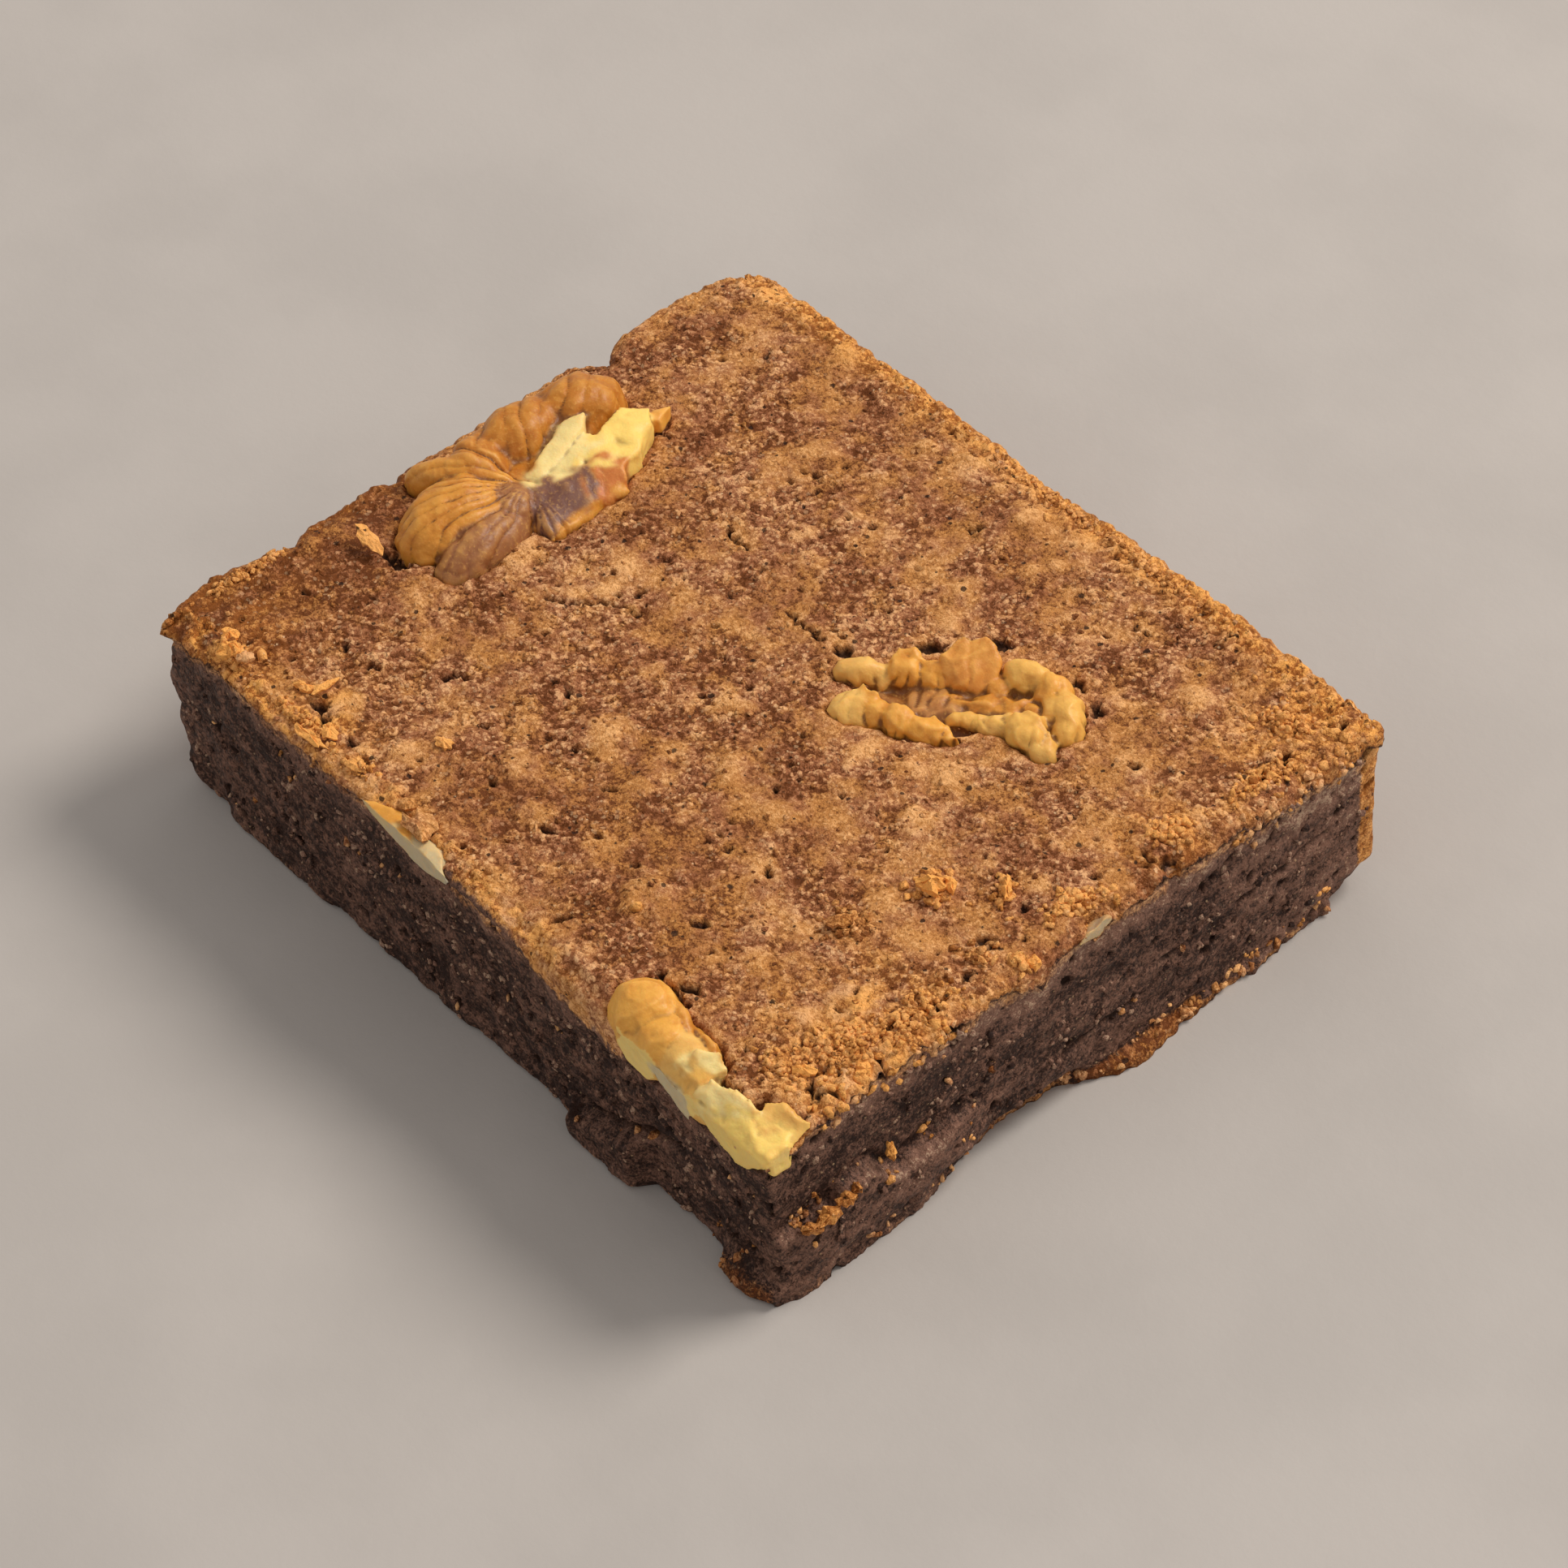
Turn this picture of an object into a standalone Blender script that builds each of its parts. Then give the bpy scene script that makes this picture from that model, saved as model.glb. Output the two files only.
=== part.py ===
"""A piece of walnut blondie, cut from the corner of a pan.

The knife made two sides, -Y and +X. The pan shaped the other two, -X and +Y: their rims stand
out a little, their lower edges are rounded, and so is the corner between them. Five pieces of
walnut sit in pockets in the slab. Lengths are in metres and +Z is up.
"""

import math
from collections import namedtuple

import bmesh
import bpy
from mathutils import Matrix, Vector, noise

MM = 0.001

# The slab, from cut to cut or cut to pan.
LENGTH = 80 * MM
WIDTH = 65 * MM
HEIGHT = 19 * MM
HALF_LENGTH = LENGTH / 2
HALF_WIDTH = WIDTH / 2
CELLS = (30, 25, 8)
LOW_ROWS_POWER = 1.25

# The sides that the pan shaped.
WALL_INSET = 0.7 * MM
BASE_ROUND = 3.2 * MM
RIM_ROUND = 0.6 * MM
RIM_WAVE = (0.6 * MM, 7 * MM)
PAN_CORNER_ROUND = 4 * MM
SIDE_REACH = 14 * MM

# The box that holds the slab: how far crumbs and lips stand out past its nominal sides.
SIDE_OVERHANG = 1.0 * MM
RIM_OVERHANG = 0.7 * MM
CUT_OVERHANG = 1.7 * MM

# Unevenness: (depth, distance between bumps).
TOP_SWELLS = ((0.35 * MM, 16 * MM), (0.18 * MM, 5 * MM))
CUT_RIPPLES = (0.2 * MM, 6 * MM)

# Walnut pieces and the pockets that hold them.
POCKET_GAP = 0.45 * MM
POCKET_RISE = 2.5 * MM
VOXEL = 0.5 * MM
SMOOTHING_STEPS = 4
KERNEL_DETAIL = 0.12
POCKET_DETAIL = 0.05
CUT_PROUD = 0.35 * MM
TRIM_SIZE = 200 * MM

# The slab's middle moves this far, which puts the middle of the whole part's box over the origin.
SLAB_MIDDLE = Vector((0, (CUT_OVERHANG - RIM_OVERHANG) / 2, 0))

COLOURS = {
    "blondie_crust": ((0.30, 0.135, 0.048), 0.85),
    "walnut": ((0.50, 0.27, 0.085), 0.5),
}

# One rounded lobe of a walnut: its middle, its size from end to end, and its turn about Z in
# degrees, all in millimetres from the middle of the slab's base.
Lobe = namedtuple("Lobe", "x y z length width height turn", defaults=(0,))


def clear_scene():
    for obj in list(bpy.data.objects):
        bpy.data.objects.remove(obj, do_unlink=True)


def new_collection(name, hidden=False):
    collection = bpy.data.collections.new(name)
    bpy.context.scene.collection.children.link(collection)
    collection.hide_render = hidden
    return collection


def new_material(name):
    colour, roughness = COLOURS[name]
    material = bpy.data.materials.new(name)
    material.use_nodes = True
    shader = material.node_tree.nodes["Principled BSDF"]
    shader.inputs["Base Color"].default_value = (*colour, 1)
    shader.inputs["Roughness"].default_value = roughness
    shader.inputs["Metallic"].default_value = 0
    return material


def object_from(bm, name, collection):
    bmesh.ops.recalc_face_normals(bm, faces=bm.faces)
    mesh = bpy.data.meshes.new(name)
    bm.to_mesh(mesh)
    bm.free()
    obj = bpy.data.objects.new(name, mesh)
    obj.location = SLAB_MIDDLE
    collection.objects.link(obj)
    return obj


def hide_cutter(obj):
    obj.hide_render = True
    obj.display_type = "WIRE"


def ramp(value, start, end):
    """0 before start, 1 after end, and a smooth rise between."""
    share = min(max((value - start) / (end - start), 0), 1)
    return share * share * (3 - 2 * share)


def bump(value, start, end, edge):
    """1 between start and end, falling smoothly to 0 over the edge on either side."""
    return ramp(value, start - edge, start) * (1 - ramp(value, end, end + edge))


def slab_cage():
    """A closed block of CELLS cells along X, Y and Z, standing on Z = 0."""
    bm = bmesh.new()
    size = Matrix.Diagonal((LENGTH, WIDTH, HEIGHT, 1))
    bmesh.ops.create_cube(bm, size=1, matrix=Matrix.Translation((0, 0, HEIGHT / 2)) @ size)
    for axis, count in enumerate(CELLS):
        along = [e for e in bm.edges if abs(e.verts[0].co[axis] - e.verts[1].co[axis]) > MM / 10]
        bmesh.ops.subdivide_edges(bm, edges=along, cuts=count - 1, use_grid_fill=True)
    for vert in bm.verts:
        vert.co.z = HEIGHT * (vert.co.z / HEIGHT) ** LOW_ROWS_POWER
    return bm


def round_pan_corner(co):
    """Turns the square corner between the two pan sides into a round one."""
    across = (PAN_CORNER_ROUND - HALF_LENGTH) - co.x
    along = co.y - (HALF_WIDTH - PAN_CORNER_ROUND)
    if across > 0 and along > 0:
        inward = max(across, along) / math.hypot(across, along)
        co.x = (PAN_CORNER_ROUND - HALF_LENGTH) - across * inward
        co.y = (HALF_WIDTH - PAN_CORNER_ROUND) + along * inward


def pan_inset(z):
    """How far a pan side lies inside its rim at height z."""
    inset = WALL_INSET * (1 - ramp(z, 13 * MM, HEIGHT - MM))
    if z < BASE_ROUND:
        inset += BASE_ROUND - math.sqrt(BASE_ROUND**2 - (BASE_ROUND - z) ** 2)
    return inset


def rim_wave(along, z):
    """The rim's wavy edge, which fades out down the side."""
    depth, spacing = RIM_WAVE
    return depth * noise.noise(Vector((along / spacing, 0, 0))) * ramp(z, 12 * MM, 17 * MM)


def shape_pan_sides(co):
    near_back = 1 - min((co.x + HALF_LENGTH) / SIDE_REACH, 1)
    near_right = 1 - min((HALF_WIDTH - co.y) / SIDE_REACH, 1)
    inset = pan_inset(co.z)
    bulge = 1.3 * MM * bump(co.y, -27 * MM, -23 * MM, 5 * MM) * ramp(co.z, 13 * MM, 17 * MM)
    co.x += near_back * (inset + rim_wave(co.y, co.z) - bulge)
    co.y += near_right * (RIM_OVERHANG - inset + rim_wave(co.x + LENGTH, co.z))


def top_height(x, y):
    """The rise of the baked top above HEIGHT: gentle swells, and rims rounded by the pan."""
    rise = 0
    for depth, spacing in TOP_SWELLS:
        rise += depth * noise.noise(Vector((x / spacing, y / spacing, 0)))
    to_rim = min(x + HALF_LENGTH, HALF_WIDTH - y)
    rise -= RIM_ROUND * (1 - ramp(to_rim, 0, 2 * RIM_ROUND))
    return rise


def broken_chunk(x, z):
    """The piece at the foot of the -Y side that leans out below a crack."""
    crack = 3.5 * MM + 0.35 * max(x - 17 * MM, 0)
    level = bump(x, 15.5 * MM, 22.5 * MM, 2 * MM)
    return 1.5 * MM * level * (1 - ramp(z, crack - 1.5 * MM, crack))


def near_corner_lip(distance, z):
    """The thin bottom crust that spreads out round the corner between the two cuts."""
    return 1.9 * MM * (1 - ramp(distance, 5 * MM, 7.5 * MM)) * (1 - ramp(z, 1.2 * MM, 3 * MM))


def ledge(y, z):
    """The lower layer of the +X side, which stands out between the near corner and y = -15."""
    top = 7.8 * MM + 1.2 * MM * bump(y, -25 * MM, -23 * MM, 2 * MM)
    level = 1 - ramp(y, -18 * MM, -12 * MM)
    return 0.8 * MM * level * (1 - ramp(z, top - MM, top + 0.5 * MM))


def foot_of_cut_x(y, z):
    """The ragged foot of the +X side: worn away beside the ledge, then a flap of bottom crust."""
    worn = 1.7 * MM * bump(y, -14 * MM, -3 * MM, 3 * MM) * (1 - ramp(z, 0, 4 * MM))
    flap = 1.4 * MM * bump(y, 2.5 * MM, 7.5 * MM, 2.5 * MM) * (1 - ramp(z, MM, 2.5 * MM))
    return flap - worn


def shape_slab(co):
    """Moves one point of the cage to its place on the baked and cut slab."""
    x, y, z = co
    depth, spacing = CUT_RIPPLES
    on_cut_y = y < -HALF_WIDTH + MM / 10
    on_cut_x = x > HALF_LENGTH - MM / 10
    if z > HEIGHT - MM / 10:
        co.z += top_height(x, y)
    if on_cut_y:
        ripple = depth * noise.noise(Vector((x, z, 0)) / spacing)
        bow = 0.5 * MM * (1 - ramp(x, -20 * MM, 5 * MM)) * (1 - z / HEIGHT)
        co.y -= ripple + bow + broken_chunk(x, z) + near_corner_lip(HALF_LENGTH - x, z)
    if on_cut_x:
        ripple = depth * noise.noise(Vector((y, z, spacing)) / spacing)
        lip = 0.4 * near_corner_lip(y + HALF_WIDTH, z)
        co.x += ripple + ledge(y, z) + foot_of_cut_x(y, z) + lip
    round_pan_corner(co)
    shape_pan_sides(co)
    co.x = min(max(co.x, -HALF_LENGTH - SIDE_OVERHANG), HALF_LENGTH + SIDE_OVERHANG)
    co.y = min(max(co.y, -HALF_WIDTH - CUT_OVERHANG), HALF_WIDTH + RIM_OVERHANG)


def make_slab(collection):
    bm = slab_cage()
    for vert in bm.verts:
        shape_slab(vert.co)
    return object_from(bm, "blondie_slab", collection)


def half_at_edge():
    """A whole half kernel by the -X rim, skin side up, with its broken face along one side."""
    ridge = [
        Lobe(-35.2 + 0.06 * step * step, -4.2 + 3.8 * step, 18.8, 7.6, 5.4, 7.8 - 0.25 * abs(step - 2))
        for step in range(5)
    ]
    fan = [
        Lobe(-28.3 + 6.2 * math.cos(math.radians(turn)), -2.6 + 6.6 * math.sin(math.radians(turn)),
             18.7, 10.4, 4.0, 7.2, turn)
        for turn in range(216, 296, 20)
    ]
    broken_face = [
        Lobe(-28.4, 2.4, 19.2, 6.6, 8.0, 6.2),
        Lobe(-27.9, 7.2, 18.9, 6.0, 7.0, 6.2),
        Lobe(-28.2, 11.2, 18.0, 3.4, 6.0, 4.6),
    ]
    folds = [Lobe(-25.1, 0.4, 17.8, 5.0, 7.4, 5.6), Lobe(-24.7, 5.0, 18.2, 4.2, 6.6, 5.4, 10)]
    bulk = [Lobe(-31.2, 0.8, 16.4, 13.6, 23.0, 8.6)]
    return ridge + fan + broken_face + folds + bulk


def half_in_middle():
    """A half kernel near the middle, inner face up: two rows of lobes with a valley between."""
    far_row = [
        Lobe(7.0, 5.8, 18.9, 6.6, 3.0, 3.6, 12),
        Lobe(10.0, 8.4, 19.0, 3.6, 4.4, 4.6, 30),
        Lobe(13.4, 12.0, 19.0, 4.6, 5.8, 6.0, 30),
        Lobe(17.0, 15.4, 19.0, 4.6, 4.4, 4.6, 20),
        Lobe(20.4, 15.8, 18.8, 5.6, 3.4, 4.4, -30),
    ]
    near_row = [
        Lobe(9.6, 2.8, 18.9, 4.8, 4.2, 3.8, 60),
        Lobe(13.3, 4.5, 18.8, 3.6, 4.2, 4.2, 70),
        Lobe(16.2, 6.6, 18.6, 3.0, 4.4, 3.4, 110),
        Lobe(18.2, 9.2, 18.3, 3.2, 3.4, 3.0, 30),
        Lobe(21.6, 11.6, 18.6, 3.8, 5.0, 3.8, 60),
    ]
    valley = [Lobe(14.4, 9.4, 16.6, 19.0, 9.0, 3.8, 42), Lobe(14.4, 9.4, 15.6, 20.0, 10.0, 5.0, 42)]
    return far_row + near_row + valley


def piece_at_corner():
    """A long fragment under the rim of the -Y cut, up to the corner between the two cuts."""
    return [
        Lobe(23.2, -30.4, 17.6, 6.8, 5.8, 6.4, 20),
        Lobe(26.2, -30.8, 17.3, 5.0, 4.6, 5.6),
        Lobe(27.6, -29.4, 17.6, 6.4, 4.2, 5.0, -20),
        Lobe(29.2, -31.6, 17.4, 6.4, 4.4, 5.0, -10),
        Lobe(33.6, -31.4, 17.4, 5.4, 3.8, 4.4, 0),
        Lobe(37.4, -31.6, 17.2, 8.2, 5.8, 5.4, 5),
    ]


def piece_at_side():
    """A thin slice that shows in the -Y cut, under a film of crust."""
    return [Lobe(-7.0, -31.6, 17.8, 7.6, 4.6, 3.2, 10), Lobe(-3.6, -31.4, 17.8, 7.0, 5.4, 3.6, -5)]


def sliver_at_side():
    """A small slice that shows at the rim of the +X cut."""
    return [Lobe(39.0, 1.9, 17.9, 3.6, 2.8, 2.8, 112), Lobe(38.2, 4.3, 18.1, 3.8, 2.6, 2.4, 112)]


def add_lobes(bm, lobes, grow=0, rise=0):
    """Adds the lobes as overlapping rounded balls, grown on every side and raised."""
    for lobe in lobes:
        place = Matrix.Translation(Vector((lobe.x, lobe.y, lobe.z)) * MM + Vector((0, 0, rise)))
        turn = Matrix.Rotation(math.radians(lobe.turn), 4, "Z")
        halves = [size * MM / 2 + grow for size in (lobe.length, lobe.width, lobe.height)]
        size = Matrix.Diagonal((*halves, 1))
        bmesh.ops.create_icosphere(bm, subdivisions=3, radius=1, matrix=place @ turn @ size)


def join_lobes(obj, detail):
    """Joins an object's overlapping lobes into one smooth skin, kept down to a share of its faces."""
    remesh = obj.modifiers.new("one skin", "REMESH")
    remesh.mode = "VOXEL"
    remesh.voxel_size = VOXEL
    smooth = obj.modifiers.new("soften", "SMOOTH")
    smooth.factor = 0.5
    smooth.iterations = SMOOTHING_STEPS
    decimate = obj.modifiers.new("fewer faces", "DECIMATE")
    decimate.ratio = detail


def add_boolean(obj, name, other, operation):
    boolean = obj.modifiers.new(name, "BOOLEAN")
    boolean.object = other
    boolean.operation = operation
    boolean.solver = "EXACT"


def make_trim(cutters):
    """A block whose -Y and +X faces lie just proud of the two cuts."""
    bm = bmesh.new()
    middle = Vector((HALF_LENGTH + CUT_PROUD - TRIM_SIZE / 2, TRIM_SIZE / 2 - HALF_WIDTH - CUT_PROUD, 0))
    bmesh.ops.create_cube(bm, size=TRIM_SIZE, matrix=Matrix.Translation(middle))
    trim = object_from(bm, "knife_trim", cutters)
    hide_cutter(trim)
    return trim


def make_walnut(name, lobes, collection, trim=None):
    bm = bmesh.new()
    add_lobes(bm, lobes)
    walnut = object_from(bm, name, collection)
    join_lobes(walnut, KERNEL_DETAIL)
    if trim:
        add_boolean(walnut, "knife cut", trim, "INTERSECT")
    return walnut


def cut_pocket(slab, name, lobes, cutters):
    """Cuts room for a walnut piece, open upwards, so that no scrap of crust is left above it."""
    bm = bmesh.new()
    for rise in (0, POCKET_RISE):
        add_lobes(bm, lobes, POCKET_GAP, rise)
    pocket = object_from(bm, "pocket_" + name, cutters)
    join_lobes(pocket, POCKET_DETAIL)
    hide_cutter(pocket)
    add_boolean(slab, "pocket " + name, pocket, "DIFFERENCE")


def main():
    clear_scene()
    parts = new_collection("blondie")
    cutters = new_collection("cutters", hidden=True)
    trim = make_trim(cutters)
    slab = make_slab(parts)
    slab.data.materials.append(new_material("blondie_crust"))
    walnut_material = new_material("walnut")
    walnuts = (
        ("walnut_half_edge", half_at_edge(), None),
        ("walnut_half_middle", half_in_middle(), None),
        ("walnut_piece_corner", piece_at_corner(), trim),
        ("walnut_piece_side", piece_at_side(), trim),
        ("walnut_sliver_side", sliver_at_side(), trim),
    )
    for name, lobes, knife in walnuts:
        walnut = make_walnut(name, lobes, parts, knife)
        walnut.data.materials.append(walnut_material)
        cut_pocket(slab, name, lobes, cutters)


main()
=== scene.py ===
"""The looks of a walnut blondie, laid out as an add-on and run as a script.

The piece was cut from the corner of a pan. The knife made two sides, -Y (the front cut) and +X
(the right cut), and the pan shaped the other two, -X (left) and +Y (back). Inside the functions,
sizes are in millimetres from the middle of the slab's base, with +Z up. `mesh_object` turns them
into metres in the frame of the CAD model. The last number of each call of the noise functions is
its seed, so that no two patterns are alike.
"""

import itertools
import math
from collections import namedtuple

import bmesh
import bpy
import numpy as np
from bpy.props import FloatProperty, FloatVectorProperty, IntProperty, PointerProperty
from mathutils import Matrix, Vector, geometry, noise
from mathutils.bvhtree import BVHTree


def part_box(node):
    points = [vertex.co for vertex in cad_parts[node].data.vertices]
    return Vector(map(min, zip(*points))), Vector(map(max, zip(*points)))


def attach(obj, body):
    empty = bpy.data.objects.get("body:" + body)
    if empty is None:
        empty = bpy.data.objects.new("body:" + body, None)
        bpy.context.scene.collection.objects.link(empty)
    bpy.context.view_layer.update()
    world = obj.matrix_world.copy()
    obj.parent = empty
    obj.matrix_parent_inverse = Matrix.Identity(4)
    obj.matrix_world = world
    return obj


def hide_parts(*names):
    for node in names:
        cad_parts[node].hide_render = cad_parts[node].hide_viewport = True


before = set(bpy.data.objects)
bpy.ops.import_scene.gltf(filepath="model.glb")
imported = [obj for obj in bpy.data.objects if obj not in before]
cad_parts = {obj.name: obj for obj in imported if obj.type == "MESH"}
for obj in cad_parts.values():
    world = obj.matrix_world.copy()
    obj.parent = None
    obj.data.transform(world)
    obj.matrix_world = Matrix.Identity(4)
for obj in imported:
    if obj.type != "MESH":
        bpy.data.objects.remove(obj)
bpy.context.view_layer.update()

bl_info = {
    "name": "Walnut blondie",
    "version": (1, 0, 0),
    "blender": (4, 5, 0),
    "location": "3D View > Sidebar > Blondie",
    "description": "Models a walnut blondie cut from the corner of a pan",
    "category": "Mesh",
}

MM = 0.001

# The slab as the CAD model has it: its box less what its crumbs and lips stand out.
SIDE_OVERHANG = 1.0
RIM_OVERHANG = 0.7
CUT_OVERHANG = 1.7
SLAB_LOW, SLAB_HIGH = (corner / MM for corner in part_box("blondie_slab"))
HALF_LENGTH = SLAB_HIGH.x - SIDE_OVERHANG
HALF_WIDTH = (SLAB_HIGH.y - SLAB_LOW.y - RIM_OVERHANG - CUT_OVERHANG) / 2
MIDDLE = np.array((0, SLAB_HIGH.y - RIM_OVERHANG - HALF_WIDTH, 0))
HEIGHT = 19.0

# The pan's shape, and the waves of the top: (rise, distance between waves).
PAN_CORNER_ROUND = 4.0
BASE_ROUND = 3.2
WALL_INSET = 0.7
TOP_SWELLS = ((0.38, 16.0), (0.25, 5.0))

# The crust: how far its rim rolls over before it turns down, and where it ends inside.
EDGE_ROLL = 0.5
CRUST_FLOOR = 12.5

# The rows of points down the crust's rim.
BAND_ROWS = 16

# The patches of gritty crust: the distance between them, octaves and seed of their noise.
GRIT_PATCHES = (4.2, 3, 44)

# Levels well outside the slab, from which its surface is looked for.
FAR_RIGHT = 50
FAR_FRONT = -45
FAR_UP = 40

# The knife cut through the walnuts, a little proud of the crumb.
CUT_PROUD = 0.35
KNIFE_Y = -HALF_WIDTH - CUT_PROUD
KNIFE_X = HALF_LENGTH + CUT_PROUD

# Where the creases of the half at the edge meet, and the middle of the half near the middle.
NAVEL = (-28.7, -0.6)
MIDDLE_NUT = (14.5, 9.5)

# One rounded lobe of a walnut: its middle, its size from end to end, its turn about Z in degrees
# and its finish. A shard is a flat-sided broken bit: its finish and its corners.
Lobe = namedtuple("Lobe", "x y z length width height turn finish", defaults=(0, "amber"))
Shard = namedtuple("Shard", "finish corners")

# How much of each colour mask a walnut finish has: flesh, gold, mauve, orange, grey.
FINISHES = {
    "amber": (0, 0.1, 0, 0, 0),
    "golden": (0, 0.85, 0, 0, 0),
    "tan": (0, 0.45, 0, 0, 0),
    "ruddy": (0, 0.7, 0, 0.4, 0),
    "dusky": (0, 0.1, 0.6, 0, 0),
    "pale": (0.35, 0.85, 0, 0, 0),
    "olive": (0.4, 0.9, 0, 0, 0.12),
    "honey": (0.1, 1.0, 0, 0, 0),
    "dull": (0.3, 0.2, 0.55, 0, 0.5),
    "cream": (1, 0.15, 0, 0, 0),
    "yellow": (1, 1.0, 0, 0, 0),
    "mauve": (0, 0, 1, 0, 0),
    "orange": (0, 0.2, 0, 1, 0),
    "film": (0.9, 0.1, 0, 0, 0.8),
    "valley": (0, 0.35, 0.15, 0, 0.2),
}
MASKS = ("flesh", "gold", "mauve", "orange", "grey")

# Marks on the top: (x, y, radius, rise) of domes and (x, y, length, width, turn) of pits.
DOMES = (
    (-2.8, -14.1, 3, 0.4), (13.9, -22.6, 3.6, 0.45), (7.6, -8.7, 2, 0.3),
    (2.6, 28, 2.4, 0.35), (-4.9, -21, 2.6, 0.35), (-20.2, -27.4, 1.9, 0.2),
    (-8.4, -17.3, 2.4, 0.3), (2.1, -4.3, 2.2, 0.3), (29.7, 15.5, 2.4, 0.3),
    (33.2, -17.3, 2.6, 0.4), (20.5, 4, 2.2, 0.25), (22.3, -1.5, 2.2, 0.3),
    (13.9, -9, 2, 0.25), (-16, 21, 2.4, 0.3), (-24, -6, 2.6, 0.3),
    (28, 24, 2.4, 0.3), (-12, -27, 1.8, 0.25), (8.8, 1.4, 1.4, 0.2),
)
PITS = (
    (-33.4, -21.6, 1.3, 0.8, 20), (-25.6, -23.2, 1.5, 0.7, -40), (-16.7, -19.3, 1.4, 0.8, 60),
    (-8.4, -13, 1.5, 0.7, -20), (-4.6, -24.1, 1, 0.9, 0), (10.7, -29.1, 2, 0.7, 50),
    (19, -21.6, 2, 1, 50), (2.6, -23.9, 2.2, 0.7, 20), (14.2, -14.6, 0.9, 0.6, 0),
    (-12.3, 17.5, 0.6, 0.5, 0), (-7.9, 17.1, 0.5, 0.5, 0), (19.3, 26.2, 0.7, 0.6, 0),
    (36, -7.4, 2, 0.9, 50), (12.4, -15.2, 1, 0.5, 70), (7.6, -11.5, 0.6, 0.5, 0),
    (20.6, -27, 1.2, 0.8, 20), (5.8, -21.5, 1.4, 0.4, 30), (0.6, 17.4, 0.5, 0.4, 0),
    (-6.1, 0.8, 0.9, 0.4, 40), (-4.9, 13.1, 0.9, 0.4, 20), (10.5, 25, 0.6, 0.4, 0),
    (-28.6, -17.9, 0.8, 0.5, 0), (-21.6, -28.9, 2.3, 1.3, 10), (-19.6, -29.6, 2.4, 1.5, -20),
    (-16.3, -29.5, 1.8, 0.8, -10), (-13.9, -30, 1.3, 0.6, 0), (-30.6, -13.9, 3.2, 2, 20),
    (8.3, 12, 2.8, 1.6, 45), (11.8, 16.4, 3.2, 1.6, 25), (19.9, 18.2, 2.4, 0.9, -20),
    (22.9, 17.5, 2.6, 1.2, -45), (3.6, 6.6, 2.4, 1.4, 40), (23.6, -26.3, 1.8, 1.3, 10),
    (35.7, -6, 2, 1.2, 30), (38.1, -14.1, 1.8, 1.1, 60),
    (39.2, 10.3, 1.6, 1.2, 90), (38.8, -20, 2.2, 0.5, 10), (38.9, -25.2, 2.4, 0.6, 60),
)
CRACKS = (
    ((-18.6, -7.4), (-17.4, -6.7), (-15.9, -5.7), (-14.4, -3.8), (-11.6, -2.6)),
    ((-3, 6.4), (-1.3, 6), (0, 6.3), (1.6, 6), (3.6, 6.2), (4.9, 6.6)),
    ((-13.6, 8.4), (-12.6, 8.9), (-11.2, 8.7)),
    ((37.4, -25.4), (38.4, -26.2), (39.4, -27.6)),
    ((-24, -25.5), (-22.9, -23.6), (-21.4, -22.8)),
)


# --------------------------------------
# Shaping helpers


def ramp(value, start, end):
    """0 before start, 1 after end, and a smooth rise between."""
    share = np.clip((value - start) / (end - start), 0, 1)
    return share * share * (3 - 2 * share)


def hill(value, start, end, edge):
    """1 between start and end, falling smoothly to 0 over the edge on either side."""
    return ramp(value, start - edge, start) * (1 - ramp(value, end, end + edge))


def bell(value, at, reach):
    """1 at one place, fading to almost nothing at twice the reach."""
    return np.exp(-(((value - at) / reach) ** 2))


def cell_random(seed, cells):
    """A repeatable random number from 0 to 1 for each row of whole-number cells."""
    mixed = np.full(len(cells), seed + 1, np.uint64) * np.uint64(0x9E3779B97F4A7C15)
    for axis in range(cells.shape[1]):
        mixed ^= cells[:, axis].astype(np.int64).view(np.uint64)
        mixed *= np.uint64(0xBF58476D1CE4E5B9)
        mixed ^= mixed >> np.uint64(31)
    return (mixed >> np.uint64(11)) / 2.0**53


def swell(points, spacing, seed=0):
    """Smooth noise from about -1 to 1, with bumps one spacing apart."""
    scaled = points / spacing
    base = np.floor(scaled)
    part = scaled - base
    ease = part**3 * (part * (6 * part - 15) + 10)
    total = np.zeros(len(points))
    for corner in itertools.product((0, 1), repeat=points.shape[1]):
        height = np.zeros(len(points))
        weight = np.ones(len(points))
        for axis, step in enumerate(corner):
            slope = 2 * cell_random(16 * seed + axis, base + corner) - 1
            height += slope * (part[:, axis] - step)
            weight *= ease[:, axis] if step else 1 - ease[:, axis]
        total += weight * height
    return 1.7 * total


def rough(points, spacing, octaves, seed=0):
    """Noise of several sizes, each half as wide and half as high as the one before."""
    total = sum(swell(points, spacing / 2**n, seed + 31 * n) / 2**n for n in range(octaves))
    return total / (2 - 0.5 ** (octaves - 1))


def ridges(points, spacing, seed=0):
    """Noise from 0 to 1 with sharp crests where `swell` crosses zero."""
    return 1 - np.minimum(np.abs(swell(points, spacing, seed)) * 2.2, 1)


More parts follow.
